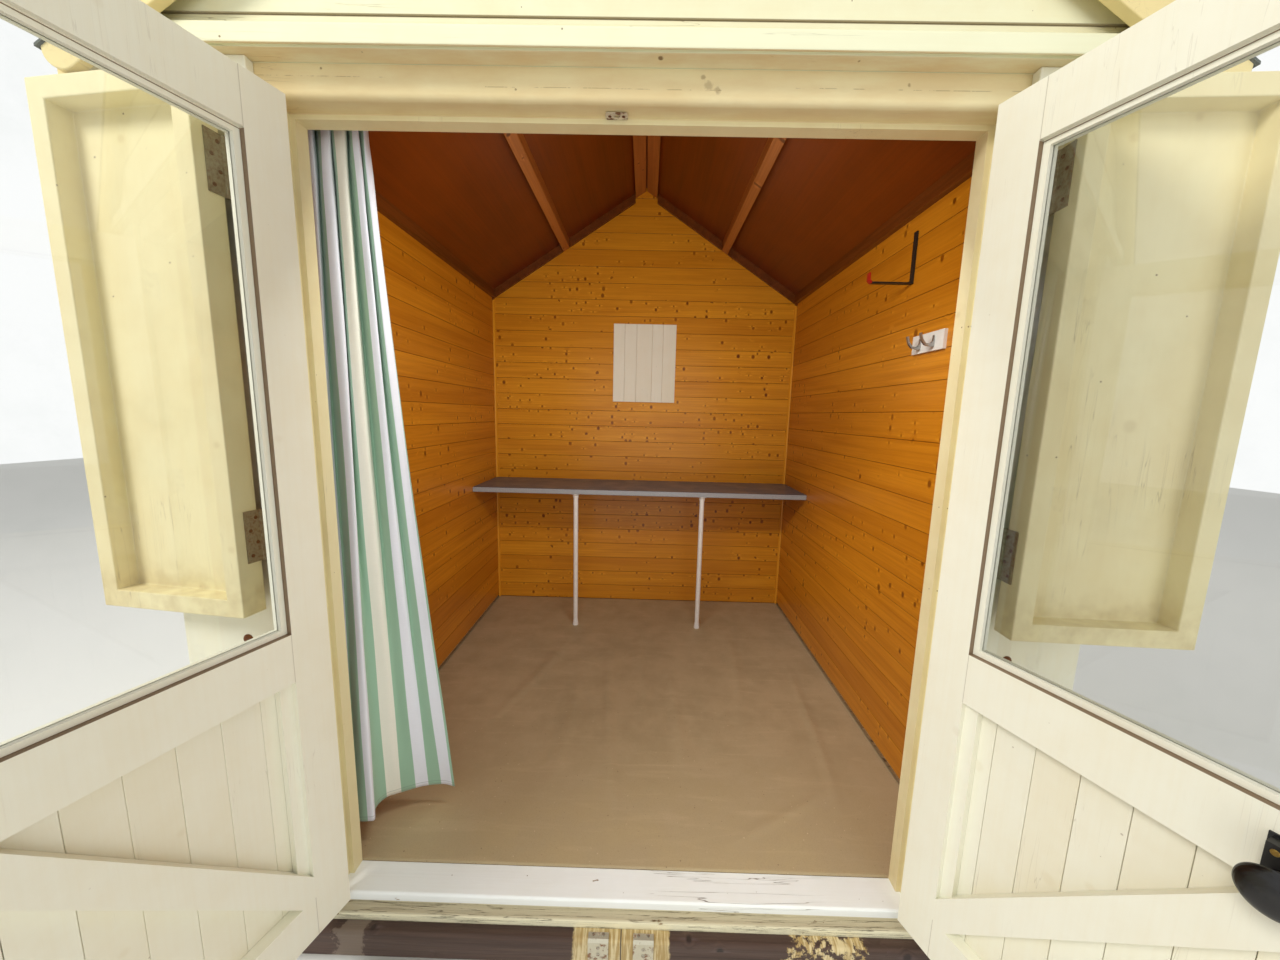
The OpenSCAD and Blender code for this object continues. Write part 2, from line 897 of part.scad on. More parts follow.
// Knuckles first, first + 2, ... of a door hinge, drilled for the pin
module knuckle_set(first) {
    for (i = [first:2:knuckles - 1])
        translate([0, 0, i * knuckle_h + run / 2])
            difference() {
                cylinder(h = knuckle_h - run, r = knuckle_r);
                translate([0, 0, -1])
                    cylinder(h = knuckle_h + 2, r = pin_r + 0.05);
            }
}

// Fixed half of a door hinge: pin with heads, knuckles and the leaf on the post
module fixed_hinge() {
    head_t = 3;
    for (z = [-head_t, hinge_h])
        translate([0, 0, z])
            cylinder(h = head_t, r = knuckle_r);
    translate([0, 0, -1])
        cylinder(h = hinge_h + 2, r = pin_r);
    for (i = [0:2:knuckles - 1])
        translate([0, 0, i * knuckle_h + run / 2])
            difference() {
                union() {
                    cylinder(h = knuckle_h - run, r = knuckle_r);
                    translate([-leaf_gap, 0, 0])
                        cube([hinge_leaf_t, pin_out, knuckle_h - run]);
                }
                translate([0, 0, -1])
                    cylinder(h = knuckle_h + 2, r = pin_r - 0.5);
            }
    translate([-leaf_gap, pin_out, 0])
        cube([hinge_leaf_t - 1.2, hinge_leaf_w, hinge_h]);
}

module jamb_hinges() {
    color([0.55, 0.5, 0.42])
        both_sides()
            for (z = hinge_zs)
                translate([-pin_x, pin_y, z - hinge_h / 2])
                    fixed_hinge();
}

// Places a leaf of the left door, or its mirror image on the right, at an angle
module hang_left() {
    translate([-pin_x, pin_y, 0])
        rotate([0, 0, -left_open])
            children();
}

module hang_right() {
    translate([pin_x, pin_y, 0])
        rotate([0, 0, right_open])
            mirror([1, 0, 0])
                children();
}

// Door leaf: the pin is the Z axis, X runs to the free edge, Y into the room
module leaf_outline() {
    translate([leaf_gap, leaf_z0])
        square([leaf_w, leaf_z1 - leaf_z0]);
}

// The brace rises from the foot of the hinge stile to the lock rail
module brace_outline() {
    r0 = panel_r0 - 1;
    z0 = panel_z0 - 1;
    z1 = panel_z1 + 1;
    mitre = 54;
    lean = atan((z1 - z0 - mitre) / (brace_top - r0));
    run_w = brace_w / sin(lean);
    polygon([
        [r0, z0 + mitre], [r0, z0], [r0 + run_w - mitre / tan(lean), z0],
        [brace_top + run_w, z1], [brace_top, z1]
    ]);
}

module leaf_frame(lock_bore) {
    y0 = pin_out;
    y1 = pin_out + leaf_t;
    board_y1 = y0 + door_board_t;
    glass_y = y0 + leaf_t / 2;
    difference() {
        union() {
            difference() {
                along_y(y0, y1)
                    difference() {
                        leaf_outline();
                        translate([panel_r0, glass_z0])
                            square([panel_r1 - panel_r0, glass_z1 - glass_z0]);
                        translate([panel_r0, panel_z0])
                            square([panel_r1 - panel_r0, panel_z1 - panel_z0]);
                    }
                along_y(y0 - 1, board_y1)
                    translate([panel_r0 - 10, panel_z0 - 10])
                        square([panel_r1 - panel_r0 + 20, panel_z1 - panel_z0 + 20]);
            }
            along_y(board_y1 + seat, y1)
                brace_outline();
            along_y(board_y1 + seat, y1 - 12)
                translate([panel_r0 - 1, panel_z0 - 1])
                    square([mould_w, panel_z1 - panel_z0 + 2]);
            for (side = [0, 1])
                glazing_bead(side == 0 ? glass_y - glass_t / 2 - seat - 9 : glass_y + glass_t / 2 + seat);
        }
        along_y(glass_y - glass_t / 2 - seat, glass_y + glass_t / 2 + seat)
            translate([panel_r0 - glass_lap, glass_z0 - glass_lap])
                square([panel_r1 - panel_r0 + 2 * glass_lap, glass_z1 - glass_z0 + 2 * glass_lap]);
        if (lock_bore)
            translate([knob_r_pos, y0 - 1, knob_z])
                rotate([-90, 0, 0])
                    cylinder(h = leaf_t + 2, r = spindle_r + 2);
    }
}

// Bead that holds the glass on one side
module glazing_bead(y) {
    along_y(y, y + 9)
        difference() {
            translate([panel_r0 - 1, glass_z0 - 1])
                square([panel_r1 - panel_r0 + 2, glass_z1 - glass_z0 + 2]);
            translate([panel_r0 + bead_w, glass_z0 + bead_w])
                square([panel_r1 - panel_r0 - 2 * bead_w, glass_z1 - glass_z0 - 2 * bead_w]);
        }
}

module leaf_boards(lock_bore) {
    color(white)
        difference() {
            along_y(pin_out, pin_out + door_board_t)
                translate([panel_r0 - 10 + seat, panel_z0 - 10 + seat])
                    square([panel_r1 - panel_r0 + 20 - 2 * seat, panel_z1 - panel_z0 + 20 - 2 * seat]);
            if (lock_bore)
                translate([knob_r_pos, pin_out - 1, knob_z])
                    rotate([-90, 0, 0])
                        cylinder(h = leaf_t + 2, r = spindle_r + 2);
        }
}

module leaf_glass() {
    glass_y = pin_out + leaf_t / 2;
    edge = glass_lap - seat;
    color([0.8, 0.9, 0.95, 0.35])
        along_y(glass_y - glass_t / 2, glass_y + glass_t / 2)
            translate([panel_r0 - edge, glass_z0 - edge])
                square([panel_r1 - panel_r0 + 2 * edge, glass_z1 - glass_z0 + 2 * edge]);
}

// Moving half of a door hinge: knuckles and the leaf on the door's edge
module moving_hinge() {
    for (i = [1:2:knuckles - 1])
        translate([0, 0, i * knuckle_h + run / 2])
            difference() {
                union() {
                    cylinder(h = knuckle_h - run, r = knuckle_r);
                    translate([leaf_gap - hinge_leaf_t, 0, 0])
                        cube([hinge_leaf_t, pin_out, knuckle_h - run]);
                }
                translate([0, 0, -1])
                    cylinder(h = knuckle_h + 2, r = pin_r + 0.05);
            }
    translate([leaf_gap - hinge_leaf_t + 1.2, pin_out, 0])
        cube([hinge_leaf_t - 1.2, hinge_leaf_w, hinge_h]);
}

module leaf_hinges() {
    color([0.55, 0.5, 0.42])
        for (z = hinge_zs)
            translate([0, 0, z - hinge_h / 2])
                moving_hinge();
}

module left_door() {
    color(white)
        hang_left()
            leaf_frame(false);
}

module left_door_boards() {
    hang_left()
        leaf_boards(false);
}

module left_door_glass() {
    hang_left()
        leaf_glass();
}

module left_door_hinges() {
    hang_left()
        leaf_hinges();
}

module right_door() {
    color(white)
        hang_right()
            leaf_frame(true);
}

module right_door_boards() {
    hang_right()
        leaf_boards(true);
}

module right_door_glass() {
    hang_right()
        leaf_glass();
}

module right_door_hinges() {
    hang_right()
        leaf_hinges();
}

// Surface lock on the room side of the right door, drilled for the spindle
module rim_lock() {
    y0 = pin_out + leaf_t;
    color([0.08, 0.07, 0.08])
        hang_right()
            difference() {
                union() {
                    block([lock_r0, y0, lock_z], [lock_r1, y0 + 3, lock_z + lock_h]);
                    block([lock_r0 + 4, y0 + 2, lock_z + 4], [lock_r1, y0 + lock_t, lock_z + lock_h - 4]);
                }
                translate([knob_r_pos, y0 - 1, knob_z])
                    rotate([-90, 0, 0])
                        cylinder(h = lock_t + 2, r = spindle_r + 0.08);
            }
}

// Half section of the knob: neck, rose and rounded head
module knob_section() {
    neck = 9;
    polygon(concat(
        [[0, 0], [neck + 6, 0], [neck + 6, 4], [neck, 8], [neck, knob_stand - 26]],
        [for (a = [-50:10:80]) [knob_r * cos(a) * (a < 0 ? 0.98 : 1), knob_stand - 12 + 13 * sin(a)]],
        [[0, knob_stand + 1]]
    ));
}

// Knob on its spindle, with its twin on the outside of the door
module lock_knob() {
    y0 = pin_out + leaf_t + lock_t + run;
    color([0.07, 0.06, 0.07])
        hang_right()
            translate([knob_r_pos, 0, knob_z]) {
                translate([0, y0, 0])
                    rotate([-90, 0, 0])
                        rotate_extrude()
                            knob_section();
                translate([0, pin_out - run, 0])
                    rotate([90, 0, 0])
                        rotate_extrude()
                            knob_section();
                translate([0, pin_out - run - 1, 0])
                    rotate([-90, 0, 0])
                        cylinder(h = y0 - pin_out + run + 2, r = spindle_r);
            }
}

floor_frame();
floor_deck();
floor_sheet();
door_sill();
outer_sill();
sill_straps();
left_wall();
right_wall();
back_wall();
front_wall_left();
front_wall_right();
front_gable();
side_linings();
back_lining();
front_lining();
front_boards();
rear_corner_boards();
door_frame();
weather_ledge();
left_roof();
right_roof();
roof_felt();
purlins();
ceiling_trim();
roof_edge_boards();
worktop();
worktop_legs();
plaque();
curtain_wire();
curtain();
wall_hooks();
left_shutter();
right_shutter();
shutter_hinges();
jamb_hinges();
left_door();
left_door_boards();
left_door_glass();
left_door_hinges();
right_door();
right_door_boards();
right_door_glass();
right_door_hinges();
rim_lock();
lock_knob();
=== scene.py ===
# Looks of a seaside beach hut: painted timber outside, varnished boards inside,
# half-glazed doors standing open and a striped curtain pulled to one side.
import math
import random

import bmesh
import bpy
from mathutils import Matrix, Vector, noise as fieldNoise
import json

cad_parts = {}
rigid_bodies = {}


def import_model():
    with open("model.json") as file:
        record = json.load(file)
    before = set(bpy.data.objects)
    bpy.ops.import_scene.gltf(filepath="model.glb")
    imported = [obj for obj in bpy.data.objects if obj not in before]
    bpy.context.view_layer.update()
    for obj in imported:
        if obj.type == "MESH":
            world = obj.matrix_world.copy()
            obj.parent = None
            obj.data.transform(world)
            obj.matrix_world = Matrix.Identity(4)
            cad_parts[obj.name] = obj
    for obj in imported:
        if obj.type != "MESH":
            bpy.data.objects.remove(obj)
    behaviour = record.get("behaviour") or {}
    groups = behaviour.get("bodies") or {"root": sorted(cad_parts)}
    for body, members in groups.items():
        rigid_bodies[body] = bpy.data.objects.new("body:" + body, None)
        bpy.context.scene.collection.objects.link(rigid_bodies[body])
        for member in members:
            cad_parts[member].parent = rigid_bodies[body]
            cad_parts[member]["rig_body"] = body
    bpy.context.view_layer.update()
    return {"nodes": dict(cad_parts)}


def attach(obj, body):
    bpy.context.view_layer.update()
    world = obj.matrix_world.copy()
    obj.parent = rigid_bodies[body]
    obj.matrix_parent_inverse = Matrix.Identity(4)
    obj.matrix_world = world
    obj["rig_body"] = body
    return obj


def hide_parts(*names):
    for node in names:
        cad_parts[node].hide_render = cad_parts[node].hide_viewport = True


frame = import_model()
nodes = frame["nodes"]
scene = bpy.context.scene
scene.view_settings.view_transform = "Standard"
print("frame loaded,", len(nodes), "nodes")

# Eye height, close in front of the open doors
camera = {
    "place": (0.03032, -1.95446, 1.39748),
    "pitchDown": 0.144633,
    "turn": -0.010721,
    "roll": 0.023511,
    "lens": 12.666,
    "sensor": 36.0,
}


def placeCamera(values):
    pitch, turn, roll = values["pitchDown"], values["turn"], values["roll"]
    level = Vector((math.cos(turn), -math.sin(turn), 0))
    ahead = Vector((math.cos(pitch) * math.sin(turn), math.cos(pitch) * math.cos(turn), -math.sin(pitch)))
    over = level.cross(ahead)
    right = level * math.cos(roll) + over * math.sin(roll)
    up = over * math.cos(roll) - level * math.sin(roll)
    lens = bpy.data.cameras.new("camera")
    lens.sensor_width = values["sensor"]
    lens.lens = values["lens"]
    lens.clip_start = 0.02
    holder = bpy.data.objects.new("camera", lens)
    scene.collection.objects.link(holder)
    turned = Matrix((right, up, -ahead)).transposed().to_4x4()
    holder.matrix_world = Matrix.Translation(Vector(values["place"])) @ turned
    scene.camera = holder


placeCamera(camera)

# Main places of the hut, in metres
hut = {
    "floor": 0.180,
    "deck": 0.177,
    "roomHalf": 0.920,
    "roomDeep": 0.8985,
    "lining": 0.012,
    "wallOut": 1.002,
    "wallDeep": 0.9805,
    "ridge": 2.7125,
    "slope": 0.6494,
    "step": 0.151,
    "worktop": 0.980,
    "boardPitch": 0.095,
    "sideBoardLift": 0.012,
}
# Doors: hinge pin, direction of the leaf and its inward side at rest, and the way back to its own axes
leaves = {
    "left": {"pin": (-0.722, -0.9865), "along": (-0.2924, -0.9563), "inward": (0.9563, -0.2924), "turn": -107.0},
    "right": {"pin": (0.722, -0.9865), "along": (0.3420, -0.9397), "inward": (-0.9397, -0.3420), "turn": -70.0},
}
# Places on a door, from its hinge and from the ground
leafPlan = {
    "edge": 0.7185,
    "panel": (0.083, 0.6385),
    "lowRail": 0.283,
    "lockRail": (0.817, 0.925),
    "topRail": 1.886,
    "boardFace": 0.021,
    "boardBack": 0.006,
}


def leafPoint(side, r, t, z):
    # r from the hinge along the door, t from its outer plane inwards
    leaf = leaves[side]
    return Vector([leaf["pin"][i] + r * leaf["along"][i] + t * leaf["inward"][i] for i in range(2)] + [z])


def flat(pair):
    return Vector((pair[0], pair[1], 0))


def sRgb(red, green, blue):
    # a colour as it is seen, 0 to 255, to the linear value a shader takes
    shown = [c / 255 for c in (red, green, blue)]
    return tuple(c / 12.92 if c < 0.0404 else ((c + 0.055) / 1.055) ** 2.4 for c in shown) + (1.0,)


def addNode(tree, kind, inputs=None, **settings):
    # inputs that are sockets are linked, the others are set
    node = tree.nodes.new(kind)
    for key, value in settings.items():
        setattr(node, key, value)
    for key, value in (inputs or {}).items():
        if isinstance(value, bpy.types.NodeSocket):
            tree.links.new(value, node.inputs[key])
        else:
            node.inputs[key].default_value = value
    return node


def calc(tree, operation, a, b=0.0, c=0.0):
    return addNode(tree, "ShaderNodeMath", {0: a, 1: b, 2: c}, operation=operation).outputs[0]


def times(tree, *factors):
    result = factors[0]
    for factor in factors[1:]:
        result = calc(tree, "MULTIPLY", result, factor)
    return result


def plus(tree, *terms):
    result = terms[0]
    for term in terms[1:]:
        result = calc(tree, "ADD", result, term)
    return result


def spread(tree, value, low, high, toLow=0.0, toHigh=1.0):
    values = {"Value": value, "From Min": low, "From Max": high, "To Min": toLow, "To Max": toHigh}
    return addNode(tree, "ShaderNodeMapRange", values, interpolation_type="SMOOTHSTEP").outputs[0]


def tint(tree, amount, a, b, mode="MIX"):
    node = addNode(tree, "ShaderNodeMix", {0: amount, 6: a, 7: b}, data_type="RGBA", blend_type=mode)
    return node.outputs[2]


def vector(tree, operation, a, b, c=(0.0, 0.0, 0.0)):
    return addNode(tree, "ShaderNodeVectorMath", {0: a, 1: b, 2: c}, operation=operation).outputs[0]


def stretch(tree, place, sizes):
    return vector(tree, "MULTIPLY", place, sizes)


def split(tree, place):
    return addNode(tree, "ShaderNodeSeparateXYZ", {0: place}).outputs


def combine(tree, x=0.0, y=0.0, z=0.0):
    return addNode(tree, "ShaderNodeCombineXYZ", {0: x, 1: y, 2: z}).outputs[0]


def noise(tree, place, scale, detail=3.0, roughness=0.55, distortion=0.0):
    values = {"Vector": place, "Scale": scale, "Detail": detail, "Roughness": roughness,
              "Distortion": distortion}
    return addNode(tree, "ShaderNodeTexNoise", values).outputs[0]


def newGroup(name, inputs, outputs):
    tree = bpy.data.node_groups.new(name, "ShaderNodeTree")
    for label, kind, value in inputs:
        socket = tree.interface.new_socket(name=label, in_out="INPUT", socket_type="NodeSocket" + kind)
        socket.default_value = value
    for label, kind in outputs:
        tree.interface.new_socket(name=label, in_out="OUTPUT", socket_type="NodeSocket" + kind)
    return tree, tree.nodes.new("NodeGroupInput").outputs, tree.nodes.new("NodeGroupOutput").inputs


def join(tree, source, target):
    tree.links.new(source, target)


def spots(tree, place, cells, chance, smallest, largest, squash=1.0):
    # spots scattered over a flat face: the distance from each, its radius, and the way to its middle
    across = split(tree, place)
    flatPlace = combine(tree, across[0], calc(tree, "ADD", across[1], across[2]))
    scaled = stretch(tree, flatPlace, (cells[0], cells[1], 1.0))
    nearest = addNode(tree, "ShaderNodeTexVoronoi", {"Vector": scaled, "Scale": 1.0}, feature="F1",
                      voronoi_dimensions="2D")
    offset = vector(tree, "SUBTRACT", scaled, nearest.outputs["Position"])
    away = stretch(tree, offset, (1 / cells[0], 1 / cells[1], 0.0))
    way = split(tree, away)
    dice = split(tree, nearest.outputs["Color"])
    oval = stretch(tree, away, (squash, 1 / squash, 1.0)) if squash != 1.0 else away
    length = addNode(tree, "ShaderNodeVectorMath", {0: oval}, operation="LENGTH").outputs["Value"]
    radius = calc(tree, "MULTIPLY_ADD", times(tree, dice[1], dice[1]), largest - smallest, smallest)
    there = calc(tree, "LESS_THAN", dice[0], chance)
    return {"length": length, "radius": radius, "there": there, "along": way[0], "across": way[1],
            "dice": dice[2]}


def makeJointGroup():
    # dark joints between boards that lie side by side, and a tone for each board
    tree, given, made = newGroup("boardJoints", [
        ("Position", "Float", 0.0), ("Pitch", "Float", 0.095),
        ("Joint", "Float", 0.0012), ("Seed", "Float", 0.0),
    ], [("Joint", "Float"), ("Tone", "Float"), ("Height", "Float")])
    boards = calc(tree, "DIVIDE", given["Position"], given["Pitch"])
    part = calc(tree, "FRACT", boards)
    edge = times(tree, calc(tree, "MINIMUM", part, calc(tree, "SUBTRACT", 1.0, part)), given["Pitch"])
    mask = addNode(tree, "ShaderNodeMapRange", {
        "Value": edge, "From Min": given["Joint"], "From Max": times(tree, given["Joint"], 2.2),
        "To Min": 1.0, "To Max": 0.0})
    dip = addNode(tree, "ShaderNodeMapRange", {
        "Value": edge, "From Min": 0.0, "From Max": times(tree, given["Joint"], 4.0)})
    tone = addNode(tree, "ShaderNodeTexWhiteNoise", {
        "W": plus(tree, calc(tree, "FLOOR", boards), given["Seed"])}, noise_dimensions="1D")
    join(tree, mask.outputs[0], made["Joint"])
    join(tree, tone.outputs[0], made["Tone"])
    join(tree, dip.outputs[0], made["Height"])
    return tree


def makeGrainGroup():
    # softwood with its grain along the vector's X; the grain flows round dark knots, with painted glints beside
    # them
    tree, given, made = newGroup("timberGrain", [
        ("Vector", "Vector", (0, 0, 0)), ("Shift", "Float", 0.0),
        ("Light", "Color", (1, 1, 1, 1)), ("Dark", "Color", (0, 0, 0, 1)), ("Knot", "Color", (0, 0, 0, 1)),
        ("Streaks", "Float", 0.6), ("Knots", "Float", 1.0),
    ], [("Color", "Color"), ("Height", "Float"), ("Knot", "Float"), ("Figure", "Float")])
    # each board is cut from another place of the same timber
    offset = combine(tree, *[times(tree, given["Shift"], step) for step in (7.3, 3.1, 5.7)])
    place = vector(tree, "ADD", given["Vector"], offset)
    crowd = spread(tree, noise(tree, stretch(tree, place, (2.4, 5.0, 5.0)), 1.0, 2.0), 0.40, 0.62, 0.06, 0.9)
    knot = spots(tree, place, (13.0, 25.0), times(tree, crowd, given["Knots"]), 0.0028, 0.0100, 1.15)
    near = times(tree, spread(tree, knot["length"], 0.004, 0.030, 1.0, 0.0), knot["there"])
    bend = times(tree, knot["across"], near, 0.85)
    flow = vector(tree, "SUBTRACT", place, combine(tree, 0.0, bend, bend))
    figure = noise(tree, stretch(tree, flow, (1.1, 21.0, 21.0)), 1.0, 5.0, 0.6, 0.7)
    stripes = noise(tree, stretch(tree, flow, (1.6, 120.0, 120.0)), 1.0, 4.0, 0.62, 0.4)
    fibres = noise(tree, stretch(tree, place, (12.0, 620.0, 620.0)), 1.0, 1.0)
    mixed = plus(tree, times(tree, spread(tree, figure, 0.32, 0.70), 0.55),
                 times(tree, spread(tree, stripes, 0.36, 0.68), 0.45))
    color = tint(tree, times(tree, mixed, given["Streaks"]), given["Light"], given["Dark"])
    color = tint(tree, times(tree, spread(tree, fibres, 0.5, 0.75), given["Streaks"], 0.25), color,
                 given["Dark"])
    # painted glints in dashes beside the knot, a brown halo, then its dark heart
    dash = times(tree, spread(tree, calc(tree, "ABSOLUTE", knot["across"]), 0.0006, 0.0055, 1.0, 0.0),
                 spread(tree, calc(tree, "ABSOLUTE", knot["along"]), 0.006, 0.034, 1.0, 0.0))
    paintedGlint = tint(tree, 1.0, given["Light"], (1.18, 1.35, 1.8, 1.0), "MULTIPLY")
    color = tint(tree, times(tree, dash, knot["there"], 0.75), color, paintedGlint)
    ragged = times(tree, calc(tree, "SUBTRACT", stripes, 0.5), 0.006)
    outer = plus(tree, knot["length"], times(tree, knot["radius"], -1.0), ragged)
    rim = times(tree, spread(tree, outer, -0.001, 0.0062, 1.0, 0.0), knot["there"])
    heart = times(tree, spread(tree, outer, -0.0016, 0.0008, 1.0, 0.0), knot["there"])
    color = tint(tree, times(tree, rim, 0.75), color, tint(tree, 0.35, given["Dark"], given["Knot"]))
    color = tint(tree, times(tree, heart, calc(tree, "MULTIPLY_ADD", knot["dice"], 0.5, 0.45)), color,
                 given["Knot"])
    height = times(tree, fibres, 0.5)
    join(tree, color, made["Color"])
    join(tree, height, made["Height"])
    join(tree, heart, made["Knot"])
    join(tree, figure, made["Figure"])
    return tree


def makePaintGroup():
    # brushed paint with yellowed places, hair cracks along the grain, chips and knots that bleed through
    tree, given, made = newGroup("brushedPaint", [
        ("Vector", "Vector", (0, 0, 0)),
        ("Paint", "Color", (1, 1, 1, 1)), ("Stain", "Color", (1, 1, 1, 1)), ("Dirt", "Color", (0, 0, 0, 1)),
        ("Staining", "Float", 0.3), ("Wear", "Float", 0.2), ("Gloss", "Float", 0.45),
    ], [("Color", "Color"), ("Roughness", "Float"), ("Height", "Float"), ("Crack", "Float")])
    place = given["Vector"]
    brush = noise(tree, stretch(tree, place, (3.5, 130.0, 130.0)), 1.0, 4.0, 0.6)
    broad = noise(tree, stretch(tree, place, (1.0, 2.4, 2.4)), 1.0, 5.0, 0.6)
    clouds = noise(tree, place, 13.0, 5.0, 0.6)
    contour = noise(tree, stretch(tree, place, (1.3, 38.0, 38.0)), 1.0, 3.0, 0.6, 0.5)
    patches = noise(tree, place, 2.7, 3.0, 0.6)
    chip = spots(tree, place, (15.0, 15.0), 0.22, 0.0004, 0.0019)
    knot = spots(tree, vector(tree, "ADD", place, (3.7, 1.9, 0.0)), (3.4, 6.0), 0.34, 0.004, 0.010)
    mottle = plus(tree, times(tree, broad, 0.7), times(tree, clouds, 0.3))
    staining = times(tree, spread(tree, mottle, 0.38, 0.70), given["Staining"])
    color = tint(tree, staining, given["Paint"], given["Stain"])
    color = tint(tree, times(tree, spread(tree, brush, 0.38, 0.72), 0.05), color, given["Stain"])
    outside = calc(tree, "SUBTRACT", knot["length"], knot["radius"])
    bleed = times(tree, spread(tree, outside, -0.002, 0.007, 1.0, 0.0), knot["there"])
    color = tint(tree, times(tree, bleed, given["Staining"], 0.55), color,
                 tint(tree, 0.25, given["Stain"], given["Dirt"]))
    line = spread(tree, calc(tree, "ABSOLUTE", calc(tree, "SUBTRACT", contour, 0.5)), 0.0015, 0.0055, 1.0, 0.0)
    crackMask = times(tree, line, spread(tree, patches, 0.52, 0.66), given["Wear"])
    ragged = plus(tree, chip["length"], times(tree, calc(tree, "SUBTRACT", clouds, 0.5), 0.002))
    inside = spread(tree, calc(tree, "SUBTRACT", ragged, chip["radius"]), -0.0004, 0.0005, 1.0, 0.0)
    chipMask = times(tree, inside, chip["there"], spread(tree, given["Wear"], 0.0, 0.5))
    marks = calc(tree, "MAXIMUM", crackMask, times(tree, chipMask, 0.85))
    color = tint(tree, marks, color, given["Dirt"])
    rough = plus(tree, given["Gloss"], times(tree, plus(tree, brush, staining), 0.12))
    height = plus(tree, times(tree, brush, 0.35), times(tree, contour, 0.35), times(tree, crackMask, -1.0))
    join(tree, color, made["Color"])
    join(tree, rough, made["Roughness"])
    join(tree, height, made["Height"])
    join(tree, crackMask, made["Crack"])
    return tree


def makeRustGroup():
    # old coating with brown rust breaking through
    tree, given, made = newGroup("rustBloom", [
        ("Vector", "Vector", (0, 0, 0)), ("Metal", "Color", (1, 1, 1, 1)), ("Rust", "Color", (0, 0, 0, 1)),
        ("Amount", "Float", 0.5), ("Scale", "Float", 60.0), ("Soft", "Float", 0.09),
    ], [("Color", "Color"), ("Roughness", "Float"), ("Mask", "Float"), ("Height", "Float")])
    broad = noise(tree, given["Vector"], given["Scale"], 6.0, 0.65)
    fine = noise(tree, given["Vector"], times(tree, given["Scale"], 7.0), 3.0, 0.6)
    low = calc(tree, "SUBTRACT", 0.80, times(tree, given["Amount"], 0.6))
    mask = addNode(tree, "ShaderNodeMapRange", {
        "Value": plus(tree, broad, times(tree, fine, 0.12)), "From Min": low,
        "From Max": plus(tree, low, given["Soft"])}).outputs[0]
    rustColor = tint(tree, spread(tree, fine, 0.35, 0.7), given["Rust"], sRgb(134, 82, 46))
    metal = tint(tree, times(tree, fine, 0.5), given["Metal"], tint(tree, 0.5, given["Metal"], given["Rust"]))
    join(tree, tint(tree, mask, metal, rustColor), made["Color"])
    join(tree, plus(tree, 0.34, times(tree, mask, 0.5)), made["Roughness"])
    join(tree, mask, made["Mask"])
    join(tree, times(tree, plus(tree, mask, fine), 0.5), made["Height"])
    return tree


def makeWeaveGroup():
    # plain weave on a map that is laid out in metres
    tree, given, made = newGroup("plainWeave", [("Vector", "Vector", (0, 0, 0)), ("Thread", "Float", 0.0011)],
                                 [("Height", "Float"), ("Tone", "Float")])
    parts = split(tree, given["Vector"])
    turns = calc(tree, "DIVIDE", math.pi, given["Thread"])
    weave = times(tree, *[calc(tree, "SINE", times(tree, part, turns)) for part in (parts[0], parts[1])])
    slubs = noise(tree, stretch(tree, given["Vector"], (40.0, 700.0, 1.0)), 1.0, 2.0)
    join(tree, plus(tree, times(tree, weave, 0.5), times(tree, slubs, 0.6)), made["Height"])
    join(tree, slubs, made["Tone"])
    return tree


effects = {
    "joints": makeJointGroup(),
    "grain": makeGrainGroup(),
    "paint": makePaintGroup(),
    "rust": makeRustGroup(),
    "weave": makeWeaveGroup(),
}
print("shared effects made")


def newMaterial(name, plain=None):
    # plain values go on the shader's own sockets
    material = bpy.data.materials.new(name)
    material.use_nodes = True
    tree = material.node_tree
    shader = tree.nodes["Principled BSDF"]
    for label, value in (plain or {}).items():
        shader.inputs[label].default_value = value
    return material, tree, shader


def useEffect(tree, name, **values):
    node = tree.nodes.new("ShaderNodeGroup")
    node.node_tree = effects[name]
    for label, value in values.items():
        socket = node.inputs[label]
        if isinstance(value, bpy.types.NodeSocket):
            join(tree, value, socket)
        else:
            socket.default_value = value
    return node.outputs


def dress(tree, shader, color, roughness=None, metallic=None, relief=None):
    # links a finish to its shader; relief: (height, depth in metres, strength)
    for label, value in (("Base Color", color), ("Roughness", roughness), ("Metallic", metallic)):
        if value is not None:
            join(tree, value, shader.inputs[label])
    if relief:
        height, depth, strength = relief
        node = addNode(tree, "ShaderNodeBump", {"Height": height, "Distance": depth, "Strength": strength})
        join(tree, node.outputs[0], shader.inputs["Normal"])


def objectPlace(tree, leaf=None):
    # place on the hut, or on a door leaf: X along it from the hinge, Z up
    place = addNode(tree, "ShaderNodeTexCoord").outputs["Object"]
    if leaf:
        turn = math.radians(leaves[leaf]["turn"])
        values = {"Vector": place, "Location": (*leaves[leaf]["pin"], 0), "Rotation": (0, 0, turn)}
        place = addNode(tree, "ShaderNodeMapping", values, vector_type="TEXTURE").outputs[0]
    return place, split(tree, place)


def onAxis(parts, axis):
    return parts["xyz".index(axis)]


def grainAlong(tree, parts, axis):
    # the grain's own axis comes first
    order = {"x": (0, 1, 2), "y": (1, 0, 2), "z": (2, 0, 1)}[axis]
    return combine(tree, *[parts[k] for k in order])


def boardTone(tree):
    # the tone that each board of a row was given when it was laid
    return addNode(tree, "ShaderNodeAttribute", attribute_name="tone").outputs["Fac"]


def between(tree, value, low, high):
    return times(tree, calc(tree, "GREATER_THAN", value, low), calc(tree, "LESS_THAN", value, high))


paintTones = {
    "white": sRgb(242, 241, 224),
    "ivory": sRgb(236, 236, 204),
    "cream": sRgb(240, 230, 186),
    "straw": sRgb(238, 220, 160),
    "stain": sRgb(220, 198, 142),
    "dirt": sRgb(108, 76, 38),
    # the tan below is painted warm shade under the weather ledge
    "tan": sRgb(208, 166, 102),
    "rust": sRgb(192, 136, 78),
}


